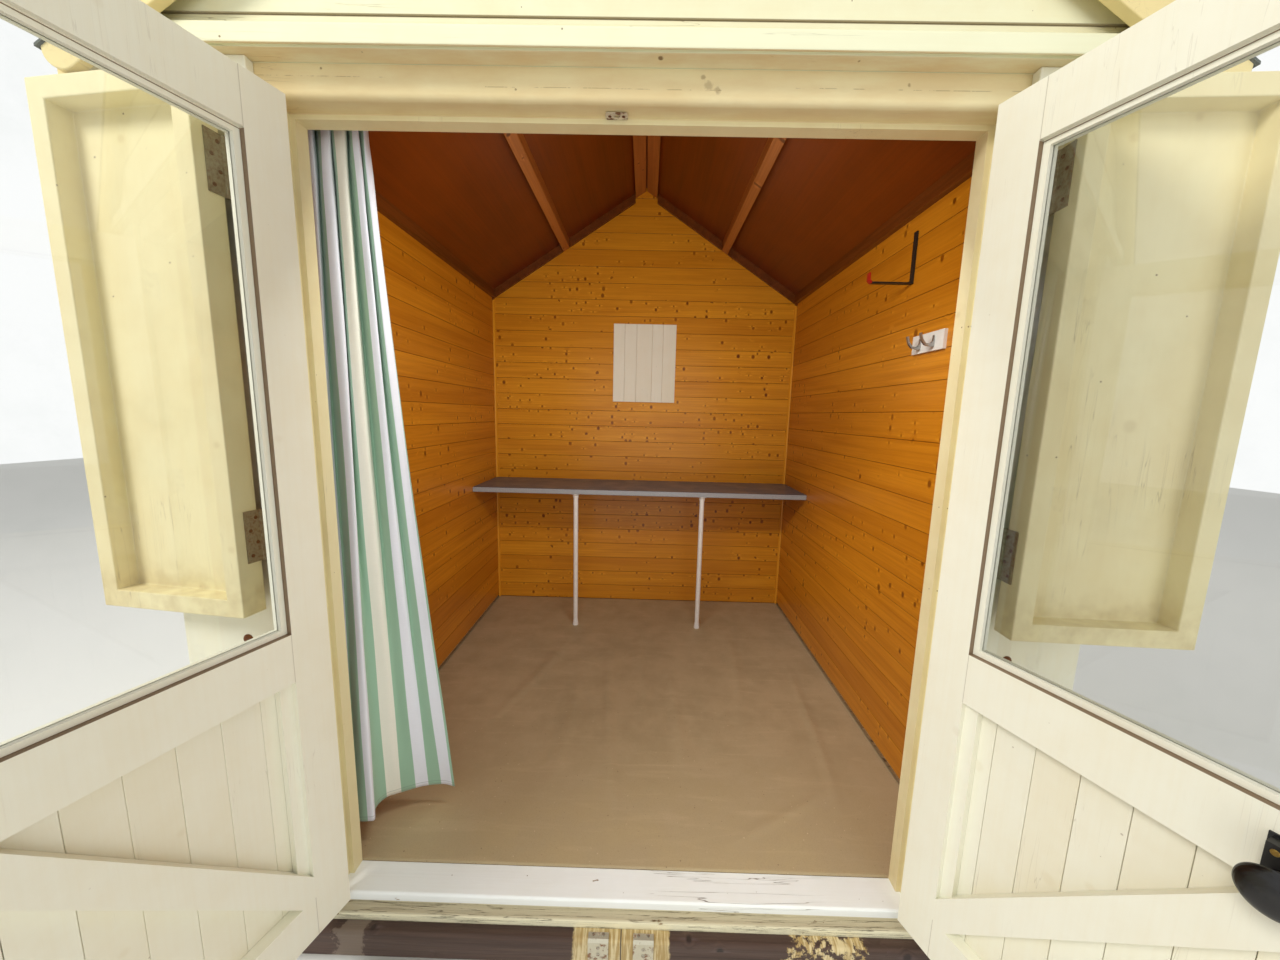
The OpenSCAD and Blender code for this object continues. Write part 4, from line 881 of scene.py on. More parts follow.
materials = {
    "wallBoardsX": timber("varnishedBoardsX", "x", honey, knots=0.9, boards=True, coat=0.2,
                          joints=("z", hut["floor"], hut["boardPitch"], 0.0008, 4.0)),
    "wallBoardsY": timber("varnishedBoardsY", "y", shadedHoney, knots=0.45, boards=True, coat=0.2,
                          joints=("z", hut["floor"] + hut["sideBoardLift"], hut["boardPitch"], 0.0008, 9.0)),
    "frontLining": timber("varnishedBoardsFront", "x", honey, coat=0.30,
                          joints=("z", hut["floor"], hut["boardPitch"], 0.0009, 3.0)),
    "purlins": timber("orangeTimber", "y", orange, knots=0.4, coat=0.25),
    "mouldings": trimFinish(),
    "ceiling": ceilingStain(),
    "deck": timber("deckBoards", "x", deckPine, joints=("y", 0.0, 0.1, 0.001, 5.0), roughness=0.7),
    "bearers": timber("weatheredTimber", "y", weathered, knots=0.7, roughness=0.8, relief=0.0014),
    "floorSheet": floorSheetFinish(),
    "sill": sillFinish(),
    "outerSill": outerSillFinish(outerSill),
    "straps": metalFinish("galvanisedStraps", sRgb(208, 204, 182), sRgb(132, 118, 100), 0.34, 45.0, 0.55),
    "hinges": metalFinish("rustyHinges", sRgb(152, 144, 116), sRgb(110, 86, 58), 0.52, 170.0, 0.25, 0.30),
    "doorHinges": metalFinish("paintedHinges", sRgb(220, 210, 184), sRgb(104, 70, 44), 0.4, 55.0, 0.0),
    "rustyScrews": metalFinish("rustyScrews", sRgb(96, 84, 72), sRgb(74, 42, 24), 0.8, 160.0, 0.5),
    "brightScrews": metalFinish("zincScrews", sRgb(190, 186, 170), sRgb(120, 92, 62), 0.35, 160.0, 0.8),
    "brassScrews": metalFinish("brassScrews", sRgb(206, 170, 92), sRgb(96, 66, 30), 0.3, 160.0, 0.9),
    "paintedNails": metalFinish("paintedNails", sRgb(232, 222, 196), sRgb(120, 78, 44), 0.45, 120.0, 0.0),
    "wire": metalFinish("curtainWire", sRgb(224, 224, 220), sRgb(120, 104, 84), 0.15, 80.0, 0.2),
    "felt": feltFinish(),
    "sideBoards": paintedTimber("sideBoards", "y", boards=True, foot=groundGrime(0.25), seams=shiplapSeams),
    "endBoards": paintedTimber("endBoards", "x", boards=True, foot=groundGrime(0.25), seams=shiplapSeams),
    "sideWalls": paintedTimber("sideWalls", "y"),
    "endWalls": paintedTimber("endWalls", "x", foot=groundGrime(0.3)),
    "gable": paintedTimber("gablePaint", "x", "ivory", 0.3, 0.5),
    "gableBoards": paintedTimber("gableBoards", "x", "ivory", 0.3, 0.5, boards=True, seams=gableSeams),
    "cornerBoards": paintedTimber("cornerBoards", "z", "white", 0.3, 0.4, foot=groundGrime(0.5),
                                  streaks=(0.778, 0.012, -1.003)),
    # the door frame's head and the ledge's lower part carry painted warm shade, and the frame's heavy staining
    # is partly painted warm shade too
    "doorFrame": paintedTimber("doorFramePaint", "z", "cream", 0.55, 0.4, swap=("z", 1.9945, "x"),
                               foot=groundGrime(0.3), cracks=headCracks, dents=headDents,
                               warmShade=(1.9955, 2.0600, 0.40)),
    "ledge": paintedTimber("ledgePaint", "x", "ivory", 0.22, 0.5, dents=ledgeDents, warmShade=(0.0, 2.0590, 0.62)),
    "roofEdge": paintedTimber("roofEdgePaint", "y", "straw", 0.35, 0.5),
    "shutters": paintedTimber("shutterPaint", "z", "cream", 0.5, 0.35, 0.5, foot=(0.992, 0.10, 0.5)),
    "leftLeaf": paintedTimber("leftLeafPaint", "z", "white", 0.2, 0.12, leaf="left", **leafMarks),
    "rightLeaf": paintedTimber("rightLeafPaint", "z", "white", 0.2, 0.12, leaf="right", **leafMarks),
    "leftPanel": paintedTimber("leftPanelPaint", "z", "white", 0.22, 0.25, leaf="left", boards=True),
    "rightPanel": paintedTimber("rightPanelPaint", "z", "white", 0.22, 0.25, leaf="right", boards=True),
    "laminate": laminateFinish(),
    "enamel": lacquerFinish("whiteEnamel", sRgb(238, 238, 234), sRgb(200, 196, 186), 0.22),
    "lacquer": lacquerFinish("blackLacquer", sRgb(20, 20, 20), sRgb(58, 54, 50), 0.24),
    "knob": lacquerFinish("blackKnob", sRgb(12, 12, 13), sRgb(44, 42, 40), 0.12),
    "plaque": paintedTimber("creamPlaque", "z", "white", 0.15, 0.25, 0.6, boards=True),
    "wallHooks": hookFinish(hookPlan),
    "glass": glassFinish(),
    "cloth": clothFinish(curtain),
}
finishes = {
    "floor_frame": "bearers", "floor_deck": "deck", "floor_sheet": "floorSheet", "door_sill": "sill",
    "outer_sill": "outerSill", "sill_straps": "straps", "left_wall": "sideWalls", "right_wall": "sideWalls",
    "back_wall": "endWalls", "front_wall_left": "endWalls", "front_wall_right": "endWalls",
    "front_gable": "gable", "side_linings": "wallBoardsY", "back_lining": "wallBoardsX",
    "front_lining": "frontLining", "front_boards": "cornerBoards", "rear_corner_boards": "cornerBoards",
    "door_frame": "doorFrame", "weather_ledge": "ledge", "left_roof": "ceiling", "right_roof": "ceiling",
    "roof_felt": "felt", "purlins": "purlins", "ceiling_trim": "mouldings", "roof_edge_boards": "roofEdge",
    "worktop": "laminate", "worktop_legs": "enamel", "plaque": "plaque", "curtain_wire": "wire",
    "curtain": "cloth", "wall_hooks": "wallHooks", "left_shutter": "shutters", "right_shutter": "shutters",
    "shutter_hinges": "hinges", "jamb_hinges": "doorHinges", "left_door": "leftLeaf",
    "left_door_boards": "leftPanel", "left_door_glass": "glass", "left_door_hinges": "doorHinges",
    "right_door": "rightLeaf", "right_door_boards": "rightPanel", "right_door_glass": "glass",
    "right_door_hinges": "doorHinges", "rim_lock": "lacquer", "lock_knob": "knob",
}
for nodeName, finish in finishes.items():
    for materialSlot in nodes[nodeName].material_slots:
        materialSlot.material = materials[finish]
print("materials made and given to the model's pieces")


def finishPiece(name, mesh, material, body, smooth=False):
    # a finished mesh becomes a piece that rides on a body
    mesh.materials.clear()
    mesh.materials.append(material)
    mesh.polygons.foreach_set("use_smooth", [smooth] * len(mesh.polygons))
    piece = bpy.data.objects.new(name, mesh)
    scene.collection.objects.link(piece)
    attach(piece, body)
    return piece


def meshPiece(name, made, material, body, smooth=False):
    mesh = bpy.data.meshes.new(name)
    made.to_mesh(mesh)
    made.free()
    return finishPiece(name, mesh, material, body, smooth)


# Pieces whose edges were planed and sanded, with the width of the rounding in metres
softened = {
    "left_door": 0.0022, "right_door": 0.0022, "door_frame": 0.0020, "weather_ledge": 0.0025,
    "front_boards": 0.0022, "rear_corner_boards": 0.0022, "left_shutter": 0.0022, "right_shutter": 0.0022,
    "roof_edge_boards": 0.0022, "worktop": 0.0012, "purlins": 0.0018, "rim_lock": 0.0015,
    "outer_sill": 0.0025, "door_sill": 0.0015,
}


def softenEdges(nodeName, width):
    # a merged copy of the model's piece with its edges rounded
    made = bmesh.new()
    made.from_mesh(nodes[nodeName].data)
    bmesh.ops.remove_doubles(made, verts=made.verts, dist=0.00002)
    bmesh.ops.dissolve_limit(made, angle_limit=math.radians(0.6), verts=made.verts, edges=made.edges)
    material, body = materials[finishes[nodeName]], nodes[nodeName]["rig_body"]
    piece = meshPiece(nodeName + "_rounded", made, material, body)
    edges = piece.modifiers.new("edges", "BEVEL")
    edges.width = width
    edges.segments = 2
    edges.limit_method = "ANGLE"
    edges.angle_limit = math.radians(35)
    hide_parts(nodeName)


for nodeName, width in softened.items():
    softenEdges(nodeName, width)
print("edges rounded on", len(softened), "pieces")


def geometryTree(name, inputs):
    tree = bpy.data.node_groups.new(name, "GeometryNodeTree")
    for label, kind, value in inputs:
        socket = tree.interface.new_socket(name=label, in_out="INPUT", socket_type="NodeSocket" + kind)
        if value is not None:
            socket.default_value = value
    tree.interface.new_socket(name="Geometry", in_out="OUTPUT", socket_type="NodeSocketGeometry")
    return tree, tree.nodes.new("NodeGroupInput").outputs, tree.nodes.new("NodeGroupOutput").inputs


def endTree(tree, geometry, material, made):
    # the material goes on last
    last = addNode(tree, "GeometryNodeSetMaterial", {"Geometry": geometry, "Material": material}).outputs[0]
    join(tree, last, made["Geometry"])
    return tree


def runTree(name, tree, values, points=None):
    # runs a geometry tree and keeps what it makes as a plain mesh
    holder = bpy.data.objects.new(name, points or bpy.data.meshes.new(name))
    scene.collection.objects.link(holder)
    modifier = holder.modifiers.new("rows", "NODES")
    modifier.node_group = tree
    for item in tree.interface.items_tree:
        if item.in_out == "INPUT" and item.name in values:
            modifier[item.identifier] = values[item.name]
    graph = bpy.context.evaluated_depsgraph_get()
    mesh = bpy.data.meshes.new_from_object(holder.evaluated_get(graph), preserve_all_data_layers=True,
                                           depsgraph=graph)
    mesh.name = name
    bpy.data.objects.remove(holder)
    return mesh


def boardDice(tree, seed):
    # a random number from 0 to 1 for each board
    node = addNode(tree, "FunctionNodeRandomValue", {"Min": 0.0, "Max": 1.0, "Seed": seed}, data_type="FLOAT")
    return [socket for socket in node.outputs if socket.enabled][0]


def makeBoardTree():
    # a stack of boards: each lies along X and faces -Y, and the next one stands on it
    tree, given, made = geometryTree("boardRow", [
        ("Count", "Int", 20), ("Pitch", "Float", 0.095), ("Gap", "Float", 0.001), ("Length", "Float", 1.8),
        ("Thick", "Float", 0.012), ("Start", "Float", 0.0),
        ("Foot Bevel", "Float", 0.0015), ("Foot Step", "Float", 0.0015),
        ("Head Bevel", "Float", 0.0015), ("Head Step", "Float", 0.0015),
        ("Low", "Float", -10.0), ("High", "Float", 10.0),
        ("Ridge", "Float", 1000.0), ("Slope", "Float", 1.0), ("Uneven", "Float", 0.0004), ("Seed", "Int", 1),
        ("Place", "Vector", (0, 0, 0)), ("Turn", "Vector", (0, 0, 0)), ("Material", "Material", None)])
    tall = calc(tree, "SUBTRACT", given["Pitch"], given["Gap"])
    plank = addNode(tree, "GeometryNodeMeshCube", {
        "Size": combine(tree, given["Length"], given["Thick"], tall),
        "Vertices X": 2, "Vertices Y": 2, "Vertices Z": 4}).outputs[0]
    parts = split(tree, addNode(tree, "GeometryNodeInputPosition").outputs[0])
    height = calc(tree, "ABSOLUTE", parts[2])
    end = calc(tree, "GREATER_THAN", height, times(tree, tall, 0.33))
    upper = calc(tree, "GREATER_THAN", parts[2], 0.0)
    front = calc(tree, "LESS_THAN", parts[1], 0.0)

    def chosen(low, high):
        return plus(tree, low, times(tree, upper, calc(tree, "SUBTRACT", high, low)))

    inner = times(tree, calc(tree, "SUBTRACT", 1.0, end), chosen(given["Foot Bevel"], given["Head Bevel"]))
    level = times(tree, calc(tree, "SIGN", parts[2]), calc(tree, "SUBTRACT", times(tree, tall, 0.5), inner))
    back = plus(tree, parts[1], times(tree, end, front, chosen(given["Foot Step"], given["Head Step"])))
    plank = addNode(tree, "GeometryNodeSetPosition", {
        "Geometry": plank, "Position": combine(tree, parts[0], back, level)}).outputs[0]
    lowest = plus(tree, given["Start"], times(tree, given["Pitch"], 0.5))
    stack = addNode(tree, "GeometryNodeMeshLine", {
        "Count": given["Count"], "Start Location": combine(tree, 0.0, 0.0, lowest),
        "Offset": combine(tree, 0.0, 0.0, given["Pitch"])}, mode="OFFSET").outputs[0]
    share = calc(tree, "DIVIDE", given["Gap"], tall)
    swell = times(tree, boardDice(tree, plus(tree, given["Seed"], 7.0)), share)
    row = addNode(tree, "GeometryNodeInstanceOnPoints", {
        "Points": stack, "Instance": plank, "Scale": combine(tree, 1.0, 1.0, plus(tree, 1.0, swell))}).outputs[0]
    tone = boardDice(tree, given["Seed"])
    row = addNode(tree, "GeometryNodeStoreNamedAttribute", {"Geometry": row, "Name": "tone", "Value": tone},
                  data_type="FLOAT", domain="INSTANCE").outputs[0]
    row = addNode(tree, "GeometryNodeTranslateInstances", {
        "Instances": row, "Translation": combine(tree, 0.0, times(tree, given["Uneven"], tone), 0.0)}).outputs[0]
    row = addNode(tree, "GeometryNodeRealizeInstances", {"Geometry": row}).outputs[0]
    # cut to the foot, the top and the slopes of the roof
    parts = split(tree, addNode(tree, "GeometryNodeInputPosition").outputs[0])
    cutZ = calc(tree, "MINIMUM", calc(tree, "MAXIMUM", parts[2], given["Low"]), given["High"])
    reach = calc(tree, "DIVIDE", calc(tree, "SUBTRACT", given["Ridge"], cutZ), given["Slope"])
    cutX = times(tree, calc(tree, "SIGN", parts[0]),
                 calc(tree, "MINIMUM", calc(tree, "ABSOLUTE", parts[0]), reach))
    row = addNode(tree, "GeometryNodeSetPosition", {
        "Geometry": row, "Position": combine(tree, cutX, parts[1], cutZ)}).outputs[0]
    turned = addNode(tree, "FunctionNodeEulerToRotation", {0: given["Turn"]}).outputs[0]
    row = addNode(tree, "GeometryNodeTransform", {
        "Geometry": row, "Translation": given["Place"], "Rotation": turned}).outputs[0]
    return endTree(tree, row, given["Material"], made)


def makeHeadTree():
    # one head on each point of the mesh, turned and sized by the point's own values
    tree, given, made = geometryTree("fixingHeads", [
        ("Geometry", "Geometry", None), ("Head", "Object", None), ("Material", "Material", None)])
    head = addNode(tree, "GeometryNodeObjectInfo", {"Object": given["Head"]}).outputs["Geometry"]
    turn = addNode(tree, "GeometryNodeInputNamedAttribute", {
        "Name": "turn"}, data_type="FLOAT_VECTOR").outputs[0]
    size = addNode(tree, "GeometryNodeInputNamedAttribute", {"Name": "size"}, data_type="FLOAT").outputs[0]
    turned = addNode(tree, "FunctionNodeEulerToRotation", {0: turn}).outputs[0]
    row = addNode(tree, "GeometryNodeInstanceOnPoints", {
        "Points": given["Geometry"], "Instance": head, "Rotation": turned,
        "Scale": combine(tree, size, size, size)}).outputs[0]
    row = addNode(tree, "GeometryNodeRealizeInstances", {"Geometry": row}).outputs[0]
    return endTree(tree, row, given["Material"], made)


boardTree = makeBoardTree()
headTree = makeHeadTree()


def layBoards(name, values, finish, body, replaced=()):
    mesh = runTree(name, boardTree, {**values, "Material": materials[finish]})
    piece = finishPiece(name, mesh, materials[finish], body)
    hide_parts(*replaced)
    return piece


quarter = math.pi / 2
roomBoards = {
    "gap": 0.0009,
    "thick": 0.0116,
    "vee": 0.0013,
    "backCount": 27,
    "sideCount": 21,
}


def lineRoom(values):
    # tongue-and-groove boards on the back wall, cut to the slopes, and on both side walls
    vee = values["vee"]
    shared = {"Pitch": hut["boardPitch"], "Gap": values["gap"], "Thick": values["thick"], "Low": hut["deck"],
              "Foot Bevel": vee, "Foot Step": vee, "Head Bevel": vee, "Head Step": vee}
    middle = values["thick"] / 2
    back = {**shared, "Count": values["backCount"], "Length": 2 * (hut["roomHalf"] + hut["lining"]),
            "Start": hut["floor"], "High": hut["ridge"] - 0.004, "Ridge": hut["ridge"], "Slope": hut["slope"],
            "Seed": 4, "Place": (0.0, hut["roomDeep"] + middle, 0.0)}
    layBoards("back_wall_boards", back, "wallBoardsX", "hut", ["back_lining"])
    high = hut["ridge"] - hut["slope"] * hut["roomHalf"] - 0.001
    for side, turn, seed in (("left", quarter, 9), ("right", -quarter, 15)):
        x = (hut["roomHalf"] + middle) * (-1 if side == "left" else 1)
        wall = {**shared, "Count": values["sideCount"], "Length": 2 * hut["roomDeep"] - 0.0006,
                "Start": hut["floor"] + hut["sideBoardLift"], "High": high, "Seed": seed,
                "Place": (x, 0.0, 0.0), "Turn": (0.0, 0.0, turn)}
        layBoards(side + "_wall_boards", wall, "wallBoardsY", "hut", ["side_linings"])


lineRoom(roomBoards)


def cladOutside(values, gable):
    # shiplap boards on the outside of the side walls, the back and the front gable
    shared = {"Pitch": values["pitch"], "Gap": values["gap"], "Thick": values["thick"],
              "Uneven": values["uneven"], "Foot Bevel": values["edge"], "Foot Step": values["edge"],
              "Head Bevel": values["cove"], "Head Step": values["coveDepth"],
              "Start": values["start"], "Low": values["start"]}
    middle = values["thick"] / 2 - values["sunk"]
    for side, turn, seed in (("left", -quarter, 21), ("right", quarter, 27)):
        x = (hut["wallOut"] + middle) * (-1 if side == "left" else 1)
        high = hut["ridge"] - hut["slope"] * (hut["wallOut"] + values["thick"]) - 0.002
        wall = {**shared, "Count": 17, "Length": values["sideLength"], "High": high, "Seed": seed,
                "Place": (x, values["sideMiddle"], 0.0), "Turn": (0.0, 0.0, turn)}
        layBoards(side + "_cladding", wall, "sideBoards", "hut")
    peak = {"High": hut["ridge"] - 0.01, "Slope": hut["slope"]}
    back = {**shared, **peak, "Count": 22, "Length": values["backLength"], "Ridge": hut["ridge"] - 0.002,
            "Seed": 33, "Place": (0.0, hut["wallDeep"] + middle, 0.0), "Turn": (0.0, 0.0, math.pi)}
    layBoards("back_cladding", back, "endBoards", "hut")
    front = {**shared, **peak, "Count": 6, "Length": gable["length"], "Start": gable["start"],
             "Low": gable["low"], "Gap": gable["gap"], "Head Bevel": gable["cove"],
             "Head Step": gable["coveDepth"], "Ridge": hut["ridge"] - 0.004, "Seed": 41,
             "Place": (0.0, gable["front"] - middle, 0.0)}
    layBoards("gable_cladding", front, "gableBoards", "hut")


cladOutside(cladding, gableCladding)

doorBoards = {
    "pitch": 0.0674,
    "first": 0.0686,
    "count": 9,
    "gap": 0.0016,
    "vee": 0.0008,
    "uneven": 0.0007,
    "railGroove": 0.009,
    "stileGroove": 0.008,
}


def boardDoor(side, values):
    # upright boards in the lower panel, between the grooves of the frame
    inward, along = flat(leaves[side]["inward"]), flat(leaves[side]["along"])
    upright = (-inward).cross(along)
    turn = Matrix((upright, -inward, along)).transposed().to_euler()
    low, high = leafPlan["lowRail"] - values["railGroove"], leafPlan["lockRail"][0] + values["railGroove"]
    left, right = leafPlan["panel"]
    vee = values["vee"]
    thick = leafPlan["boardFace"] - leafPlan["boardBack"]
    middle = leafPoint(side, 0.0, (leafPlan["boardFace"] + leafPlan["boardBack"]) / 2, (low + high) / 2)
    panel = {"Count": values["count"], "Pitch": values["pitch"], "Gap": values["gap"], "Length": high - low,
             "Thick": thick, "Start": values["first"], "Uneven": values["uneven"],
             "Foot Bevel": vee, "Foot Step": vee, "Head Bevel": vee, "Head Step": vee,
             "Low": left - values["stileGroove"], "High": right + values["stileGroove"],
             "Seed": 3 if side == "left" else 8, "Place": middle, "Turn": tuple(turn)}
    body, node = side + "_door_leaf", side + "_door_boards"
    layBoards(side + "_door_panel", panel, side + "Panel", body, [node])


for side in leaves:
    boardDoor(side, doorBoards)

plaqueBoards = {
    "x": (-0.181, 0.201),
    "z": (1.473, 1.940),
    "joints": (0.18, 0.37, 0.62, 0.79),
    "thick": 0.0115,
    "uneven": 0.0007,
    "gap": 0.0009,
    "edge": 0.001,
}


def makePlaque(values):
    # five upright boards side by side, with nothing on them
    made = bmesh.new()
    tone = made.verts.layers.float.new("tone")
    x0, x1 = values["x"]
    cuts = [0.0, *values["joints"], 1.0]
    bottom, top = values["z"]
    for i, (a, b) in enumerate(zip(cuts, cuts[1:])):
        left = x0 + a * (x1 - x0) + values["gap"] / 2
        right = x0 + b * (x1 - x0) - values["gap"] / 2
        uneven = values["uneven"] * (i % 2)
        size = Vector((right - left, values["thick"] - uneven, top - bottom))
        middle = Vector(((left + right) / 2, hut["roomDeep"] - size.y / 2, (bottom + top) / 2))
        shape = Matrix.Translation(middle) @ Matrix.Diagonal(size.to_4d())
        corners = set(bmesh.ops.create_cube(made, size=1.0, matrix=shape)["verts"])
        for vert in corners:
            vert[tone] = (i * 0.37) % 1.0
        edges = [edge for edge in made.edges if corners.issuperset(edge.verts)]
        bmesh.ops.bevel(made, geom=edges, offset=values["edge"], segments=2, affect="EDGES", profile=0.5)
    piece = meshPiece("bare_plaque", made, materials["plaque"], "hut")
    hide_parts("plaque")


makePlaque(plaqueBoards)
print("boards laid in the room, on the walls and in the doors")

floorSheet = {
    "columns": 216,
    "rows": 212,
    "thick": 0.0028,
    "ripple": 0.0009,
    "bend": 0.035,
    # it lies flat along the walls and round the feet of the worktop's legs
    "rim": 0.06,
    "legs": (0.352, 0.516),
    "legRim": 0.08,
    # soft rucks: from, to, height, half width
    "rucks": [
        ((-0.02, -0.86), (-0.13, 0.60), 0.0072, 0.019), ((0.10, -0.30), (0.02, 0.80), 0.0050, 0.026),
        ((0.24, -0.62), (0.12, 0.12), 0.0046, 0.022), ((0.42, -0.34), (0.50, 0.44), 0.0048, 0.024),
        ((0.62, -0.74), (0.80, 0.16), 0.0050, 0.020), ((-0.30, -0.70), (-0.22, 0.10), 0.0040, 0.028),
        ((-0.56, -0.42), (-0.38, 0.42), 0.0044, 0.024), ((0.30, -0.86), (0.72, -0.52), 0.0036, 0.018),
    ],
}


def makeFloorSheet(values):
    # the loose sheet on the floor, with low rucks in it
    made = bmesh.new()
    half, deep = hut["roomHalf"] - 0.0003, hut["roomDeep"]
    legX, legY = values["legs"]
    grid = []
    for row in range(values["rows"] + 1):
        line = []
        for column in range(values["columns"] + 1):
            x = -half + 2 * half * column / values["columns"]
            y = -deep + (2 * deep - 0.0003) * row / values["rows"]
            lift = 0.0
            for (ax, ay), (bx, by), high, wide in values["rucks"]:
                lengthSquared = (bx - ax) ** 2 + (by - ay) ** 2
                f = ((x - ax) * (bx - ax) + (y - ay) * (by - ay)) / lengthSquared
                bend = values["bend"] * math.sin(3.1 * f + 7 * ax)
                side = ((x - ax) * (by - ay) - (y - ay) * (bx - ax)) / math.sqrt(lengthSquared) + bend
                taper = max(0.0, 1 - (2 * f - 1) ** 2)
                lift += high * taper * math.exp(-(side / wide) ** 2)
            lift += values["ripple"] * fieldNoise.noise(Vector((x * 5, y * 3, 0.4)))
            fromLeg = math.hypot(abs(x) - legX, y - legY) / values["legRim"]
            rim = min(1.0, (half - abs(x)) / values["rim"], (deep - abs(y)) / values["rim"], fromLeg)
            line.append(made.verts.new((x, y, hut["floor"] + max(0.0, lift) * max(0.0, rim))))
        grid.append(line)
    for lower, upper in zip(grid, grid[1:]):
        for i in range(values["columns"]):
            made.faces.new((lower[i], lower[i + 1], upper[i + 1], upper[i]))
    piece = meshPiece("laid_floor_sheet", made, materials["floorSheet"], "hut", smooth=True)
    body = piece.modifiers.new("thickness", "SOLIDIFY")
    body.thickness = values["thick"]
    body.offset = -1.0
    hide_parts("floor_sheet")


makeFloorSheet(floorSheet)
print("floor sheet laid")


def curvePoint(points, t):
    # a smooth line through points that are spaced evenly in t, 0 to 1
    place = min(max(t, 0.0), 1.0) * (len(points) - 1)
    i = min(int(place), len(points) - 2)
    f = place - i
    a, b = points[max(i - 1, 0)], points[i]
    c, d = points[i + 1], points[min(i + 2, len(points) - 1)]
    return [0.5 * (2 * b[k] + (c[k] - a[k]) * f + (2 * a[k] - 5 * b[k] + 4 * c[k] - d[k]) * f * f
                   + (3 * b[k] - 3 * c[k] + d[k] - a[k]) * f * f * f) for k in range(2)]


def makeCurtain(values):
    # the cloth falls in folds from the wire and opens towards the hem
    made = bmesh.new()
    layer = made.loops.layers.uv.new("cloth")
    drop = values["top"] - values["hem"]
    pinchDepth, pinchReach = values["pinch"]
    slow, quick = values["sway"]
    grid = []
    for row in range(values["rows"] + 1):
        s = row / values["rows"]
        ease = s ** 1.2
        points = []
        for i, (a, b) in enumerate(zip(values["atWire"], values["atHem"])):
            # the folds lean a little one way and the other as they fall
            lean = values["lean"] * math.sin(5.0 * s + 1.1 * i) * math.sin(math.pi * s)
            pinch = pinchDepth * math.sin(52.0 * s + 1.5 * i) * math.exp(-s / pinchReach)
            points.append((a[0] + (b[0] - a[0]) * ease + lean + pinch, a[1] + (b[1] - a[1]) * ease))
        line = []
        for column in range(values["columns"] + 1):
            t = column / values["columns"]
            x, y = curvePoint(points, t)
            # slow waves that travel along the cloth, so no fold is a straight ridge
            sway = slow * math.sin(7.0 * s + 19.0 * t) * math.sin(math.pi * s)
            sway += quick * math.sin(23.0 * s - 31.0 * t) * s
            line.append(made.verts.new((x + 0.4 * sway, y + sway, values["top"] - drop * s)))
        grid.append(line)
    for row in range(values["rows"]):
        for column in range(values["columns"]):
            corners = [(row, column), (row, column + 1), (row + 1, column + 1), (row + 1, column)]
            face = made.faces.new([grid[r][c] for r, c in reversed(corners)])
            for loop, (r, c) in zip(face.loops, reversed(corners)):
                loop[layer].uv = (values["width"] * (1 - c / values["columns"]), -drop * r / values["rows"])
    piece = meshPiece("striped_curtain", made, materials["cloth"], "hut", smooth=True)
    skin = piece.modifiers.new("thickness", "SOLIDIFY")
    skin.thickness = values["thick"]
    skin.offset = 0.0
    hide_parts("curtain")


makeCurtain(curtain)
print("curtain hung")

# Heads of radius 1: the halves of the slotted one are arcs, in degrees, that draw in towards the top
screwHead = {
    "sides": 16,
    "points": 9,
    "from": 14,
    "arc": 152,
    "low": 0.15,
    "high": 0.36,
    "draw": 0.84,
    "slot": 0.03,
}
domeHead = {"sides": 12, "profile": ((1.0, -0.10), (1.0, 0.10), (0.82, 0.30), (0.45, 0.44))}


def slottedHead(values):
    # a round head of radius 1 with a screwdriver slot
    made = bmesh.new()
    count, draw = values["points"], values["draw"]
    bmesh.ops.create_cone(made, cap_ends=True, segments=values["sides"], radius1=1.0, radius2=1.0, depth=0.20,
                          matrix=Matrix.Translation((0, 0, 0.05)))
    for turn in (0.0, math.pi):
        angles = [turn + math.radians(values["from"] + values["arc"] * i / (count - 1)) for i in range(count)]
        ring = [(math.cos(angle), math.sin(angle)) for angle in angles]
        slot = values["slot"] * (1 if turn == 0.0 else -1)
        low = [made.verts.new((x, y, values["low"])) for x, y in ring]
        high = [made.verts.new((draw * x, draw * y + slot, values["high"])) for x, y in ring]
        made.faces.new(high)
        made.faces.new(list(reversed(low)))
        for i in range(count):
            made.faces.new((low[i], low[(i + 1) % count], high[(i + 1) % count], high[i]))
    bmesh.ops.recalc_face_normals(made, faces=made.faces)
    return made


def roundHead(values):
    # a low dome of radius 1, as on a nail or a coach bolt
    made = bmesh.new()
    count = values["sides"]
    rings = []
    for radius, height in values["profile"]:
        angles = [2 * math.pi * k / count for k in range(count)]
        rings.append([made.verts.new((radius * math.cos(a), radius * math.sin(a), height)) for a in angles])
    for low, high in zip(rings, rings[1:]):
        for k in range(count):
            made.faces.new((low[k], low[(k + 1) % count], high[(k + 1) % count], high[k]))
    made.faces.new(rings[-1])
    made.faces.new(list(reversed(rings[0])))
    bmesh.ops.recalc_face_normals(made, faces=made.faces)
    return made


def headObject(name, made):
    mesh = bpy.data.meshes.new(name)
    made.to_mesh(mesh)
    made.free()
    return bpy.data.objects.new(name, mesh)


heads = {
    "slotted": headObject("slottedHead", slottedHead(screwHead)),
    "round": headObject("roundHead", roundHead(domeHead)),
}


def setHeads(name, fixings, head, finish, body, seed=1):
    # fixings: (place, the way the head faces, radius)
    dice = random.Random(seed)
    mesh = bpy.data.meshes.new(name + "Points")
    mesh.from_pydata([tuple(place) for place, facing, radius in fixings], [], [])
    mesh.attributes.new("turn", "FLOAT_VECTOR", "POINT")
    mesh.attributes.new("size", "FLOAT", "POINT")
    turn, size = mesh.attributes["turn"].data, mesh.attributes["size"].data
    for i, (place, facing, radius) in enumerate(fixings):
        spin = Matrix.Rotation(dice.uniform(0, math.pi), 3, "Z")
        turn[i].vector = (Vector(facing).to_track_quat("Z", "Y").to_matrix() @ spin).to_euler()
        size[i].value = radius
    made = runTree(name, headTree, {"Head": heads[head], "Material": materials[finish]}, mesh)
    finishPiece(name, made, materials[finish], body)


print("ready to set screws and nails")

